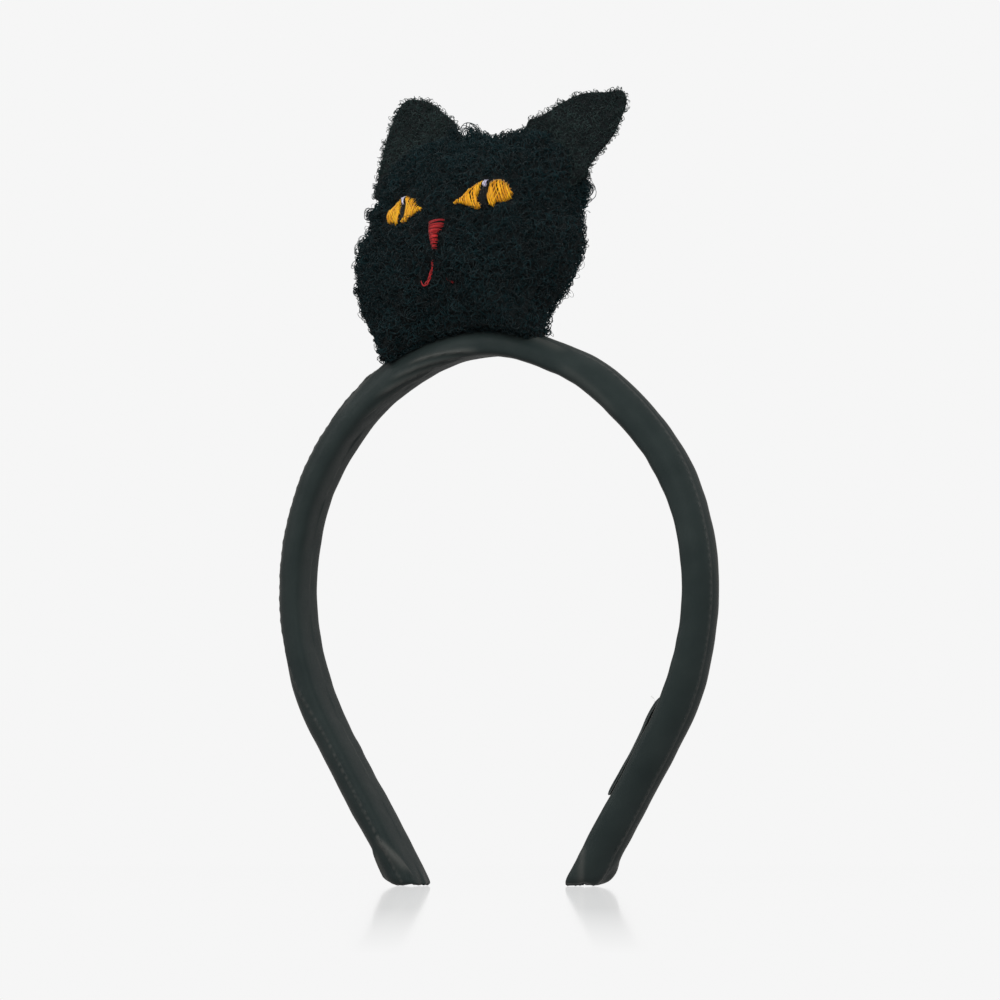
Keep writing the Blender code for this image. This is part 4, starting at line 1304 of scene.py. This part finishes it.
def build_nose_and_mouth():
    nose = satin_stitches(NOSE, 2, STITCH_SPACING, EYE_LIFT, 71, overshoot=0.2)
    add_embroidery("nose_stitches", "nose_patch", nose, "red", 72)
    route = smooth_route(np.array(MOUTH_ROUTE), 90)
    lengths = np.concatenate([[0], np.cumsum(np.linalg.norm(np.diff(route, axis=0), axis=1))])
    paths = []
    random = np.random.default_rng(73)
    for start in np.arange(0, lengths[-1] - 1.0, 0.55):
        place = np.linspace(start, min(start + 1.9, lengths[-1]), STITCH_POINTS)
        flat = np.stack([np.interp(place, lengths, side) for side in route.T], -1)
        heading = unit(np.gradient(flat, axis=0))
        flat = flat + heading[:, ::-1] * np.array([-1, 1]) * random.uniform(-0.28, 0.28)
        bow = arc(STITCH_POINTS) ** 0.6
        shown = MOUTH_LIFT if flat[:, 0].mean() < -1.6 else MOUTH_SUNK
        if abs(flat[:, 0].mean() - 2.0) < 0.7 and flat[:, 1].mean() < 11.6:
            shown = MOUTH_FAINT
        height = face_height(flat * MM) + (shown - 0.4 + 0.5 * bow) * MM
        paths.append(np.concatenate([flat * MM, height[:, None]], -1))
    add_embroidery("mouth_stitches", "mouth_line", np.array(paths), "red", 74, THREAD * 1.1)


def build_stuffing():
    """The loose filling, as one lumpy form just inside the panels."""
    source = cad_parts["stuffing"]
    stuffing = add_object("stuffing_fibre", source.data.copy())
    remesh = stuffing.modifiers.new("even", "REMESH")
    remesh.mode = "VOXEL"
    remesh.voxel_size = 1.1 * MM
    apply_modifiers(stuffing)
    mesh = stuffing.data
    places = vertex_values(mesh.vertices, "co")
    normals = vertex_values(mesh.vertex_normals, "vector")
    lumps = 0.5 * MM * ripple(places, 6 * MM, 81) + 0.3 * MM * ripple(places, 2.8 * MM, 82)
    places = places + normals * (lumps - STUFFING_ROOM)[:, None]
    places = clear_of_band(places, 1.5 * MM, CHIN_REST + 1.2 * MM)
    mesh.vertices.foreach_set("co", places.ravel())
    mesh.shade_smooth()
    mesh.materials.clear()
    mesh.materials.append(MATERIALS["filling"])
    dress(stuffing, "crown", "stuffing")


def finish_glue():
    """The glue between the band and the head keeps its CAD shape and gets its finish."""
    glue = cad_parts["glue_strip"]
    glue.data.materials.clear()
    glue.data.materials.append(MATERIALS["glue"])


for body in BODIES:
    build_sleeve(body)
build_linings()
for side in (-1, 1):
    build_stitches(side)
build_label()
build_label_stitches()
face_triangles = build_panel("plush_face", 1, face_bulge, "face_panel")
back_triangles = build_panel("plush_back", -1, back_bulge, "back_panel")
build_head_pile("face", face_triangles, 40)
build_head_pile("back", back_triangles, 60)
build_tufts(np.concatenate([face_triangles, back_triangles]))
build_ear("left", LEFT_EAR, LEFT_EAR_LEAN, 100)
build_ear("right", RIGHT_EAR, RIGHT_EAR_LEAN, 130)
build_eye("right", False, 150)
build_eye("left", True, 170)
build_nose_and_mouth()
build_stuffing()
finish_glue()


# ---------------------------------------------------------------- camera, floor and light
TOWARDS = Vector((math.sin(VIEW_TURN), -math.cos(VIEW_TURN), 0))
ACROSS = Vector((math.cos(VIEW_TURN), math.sin(VIEW_TURN), 0))


def build_camera():
    camera = add_object("camera", bpy.data.cameras.new("camera"))
    axis = Vector((0, BAND_Y, 0)) + ACROSS * AIM_ACROSS
    camera.location = axis + TOWARDS * VIEW_DISTANCE + Vector((0, 0, VIEW_HEIGHT))
    aim = axis + Vector((0, 0, AIM_HEIGHT))
    camera.rotation_euler = (aim - camera.location).to_track_quat("-Z", "Y").to_euler()
    camera.data.sensor_width = SENSOR_WIDTH
    camera.data.lens = SENSOR_WIDTH * VIEW_DISTANCE / VIEW_WIDTH
    camera.data.clip_start = 0.5
    camera.data.clip_end = 40
    bpy.context.scene.camera = camera


def add_light(name, towards, aside, up, size, power):
    """A soft rectangle of light that aims at the object's middle. The front one makes no gloss."""
    middle = Vector((0, BAND_Y, MIDDLE_HEIGHT))
    light = bpy.data.lights.new(name, "AREA")
    light.shape = "RECTANGLE"
    light.size, light.size_y = size
    light.energy = power
    lamp = add_object(name, light)
    lamp.location = middle + TOWARDS * towards + ACROSS * aside + Vector((0, 0, up))
    lamp.rotation_euler = (middle - lamp.location).to_track_quat("-Z", "Y").to_euler()
    lamp.visible_camera = False
    lamp.visible_glossy = name != "front"


def build_floor():
    """A pale glossy floor that meets the pale background with no line between them."""
    floor = add_object("floor", bpy.data.meshes.new("floor"))
    floor.data.from_pydata([(-8, -8, 0), (8, -8, 0), (8, 8, 0), (-8, 8, 0)], [], [(0, 1, 2, 3)])
    floor.location.z = -0.05 * MM
    floor.visible_diffuse = False
    floor.visible_glossy = False
    material = bpy.data.materials.new("floor")
    material.use_nodes = True
    nodes = material.node_tree.nodes
    nodes.remove(nodes["Principled BSDF"])
    white = (1, 1, 1, 1)
    glow = add_node(material, "ShaderNodeEmission", {"Color": white})
    gloss = add_node(material, "ShaderNodeBsdfAnisotropic", {"Roughness": FLOOR_ROUGHNESS})
    blend = add_node(material, "ShaderNodeAddShader")
    place = add_node(material, "ShaderNodeTexCoord")
    away = add_node(material, "ShaderNodeVectorMath", operation="LENGTH")
    reach = add_node(material, "ShaderNodeMapRange", {"From Max": FLOOR_REACH})
    dimmed = add_node(material, "ShaderNodeMath", {1: -SURROUND, 2: BACKDROP}, operation="MULTIPLY_ADD")
    link(material, place, "Object", away, 0)
    link(material, away, "Value", reach, "Value")
    stops = [(share, (value, value, value)) for share, value in FLOOR_FADE]
    fade = add_ramp(material, reach, "Result", stops)
    link(material, fade, "Color", gloss, "Color")
    link(material, fade, "Color", dimmed, 0)
    link(material, dimmed, 0, glow, "Strength")
    link(material, glow, 0, blend, 0)
    link(material, gloss, 0, blend, 1)
    link(material, blend, 0, nodes["Material Output"], "Surface")
    floor.data.materials.append(material)


def build_world():
    """A pale backdrop for the camera. The object and the floor see plainer surroundings."""
    world = bpy.data.worlds.new("studio")
    world.use_nodes = True
    bpy.context.scene.world = world
    nodes = world.node_tree.nodes
    around = nodes["Background"]
    backdrop = add_node(world, "ShaderNodeBackground")
    for shader, strength in ((around, SURROUND), (backdrop, BACKDROP)):
        shader.inputs["Color"].default_value = (1, 1, 1, 1)
        shader.inputs["Strength"].default_value = strength
    rays = add_node(world, "ShaderNodeLightPath")
    blend = add_node(world, "ShaderNodeMixShader")
    link(world, rays, "Is Camera Ray", blend, "Fac")
    link(world, around, 0, blend, 1)
    link(world, backdrop, 0, blend, 2)
    link(world, blend, 0, nodes["World Output"], "Surface")


bpy.context.scene.view_settings.view_transform = "Standard"
build_camera()
build_floor()
build_world()
for values in LIGHTS:
    add_light(*values)
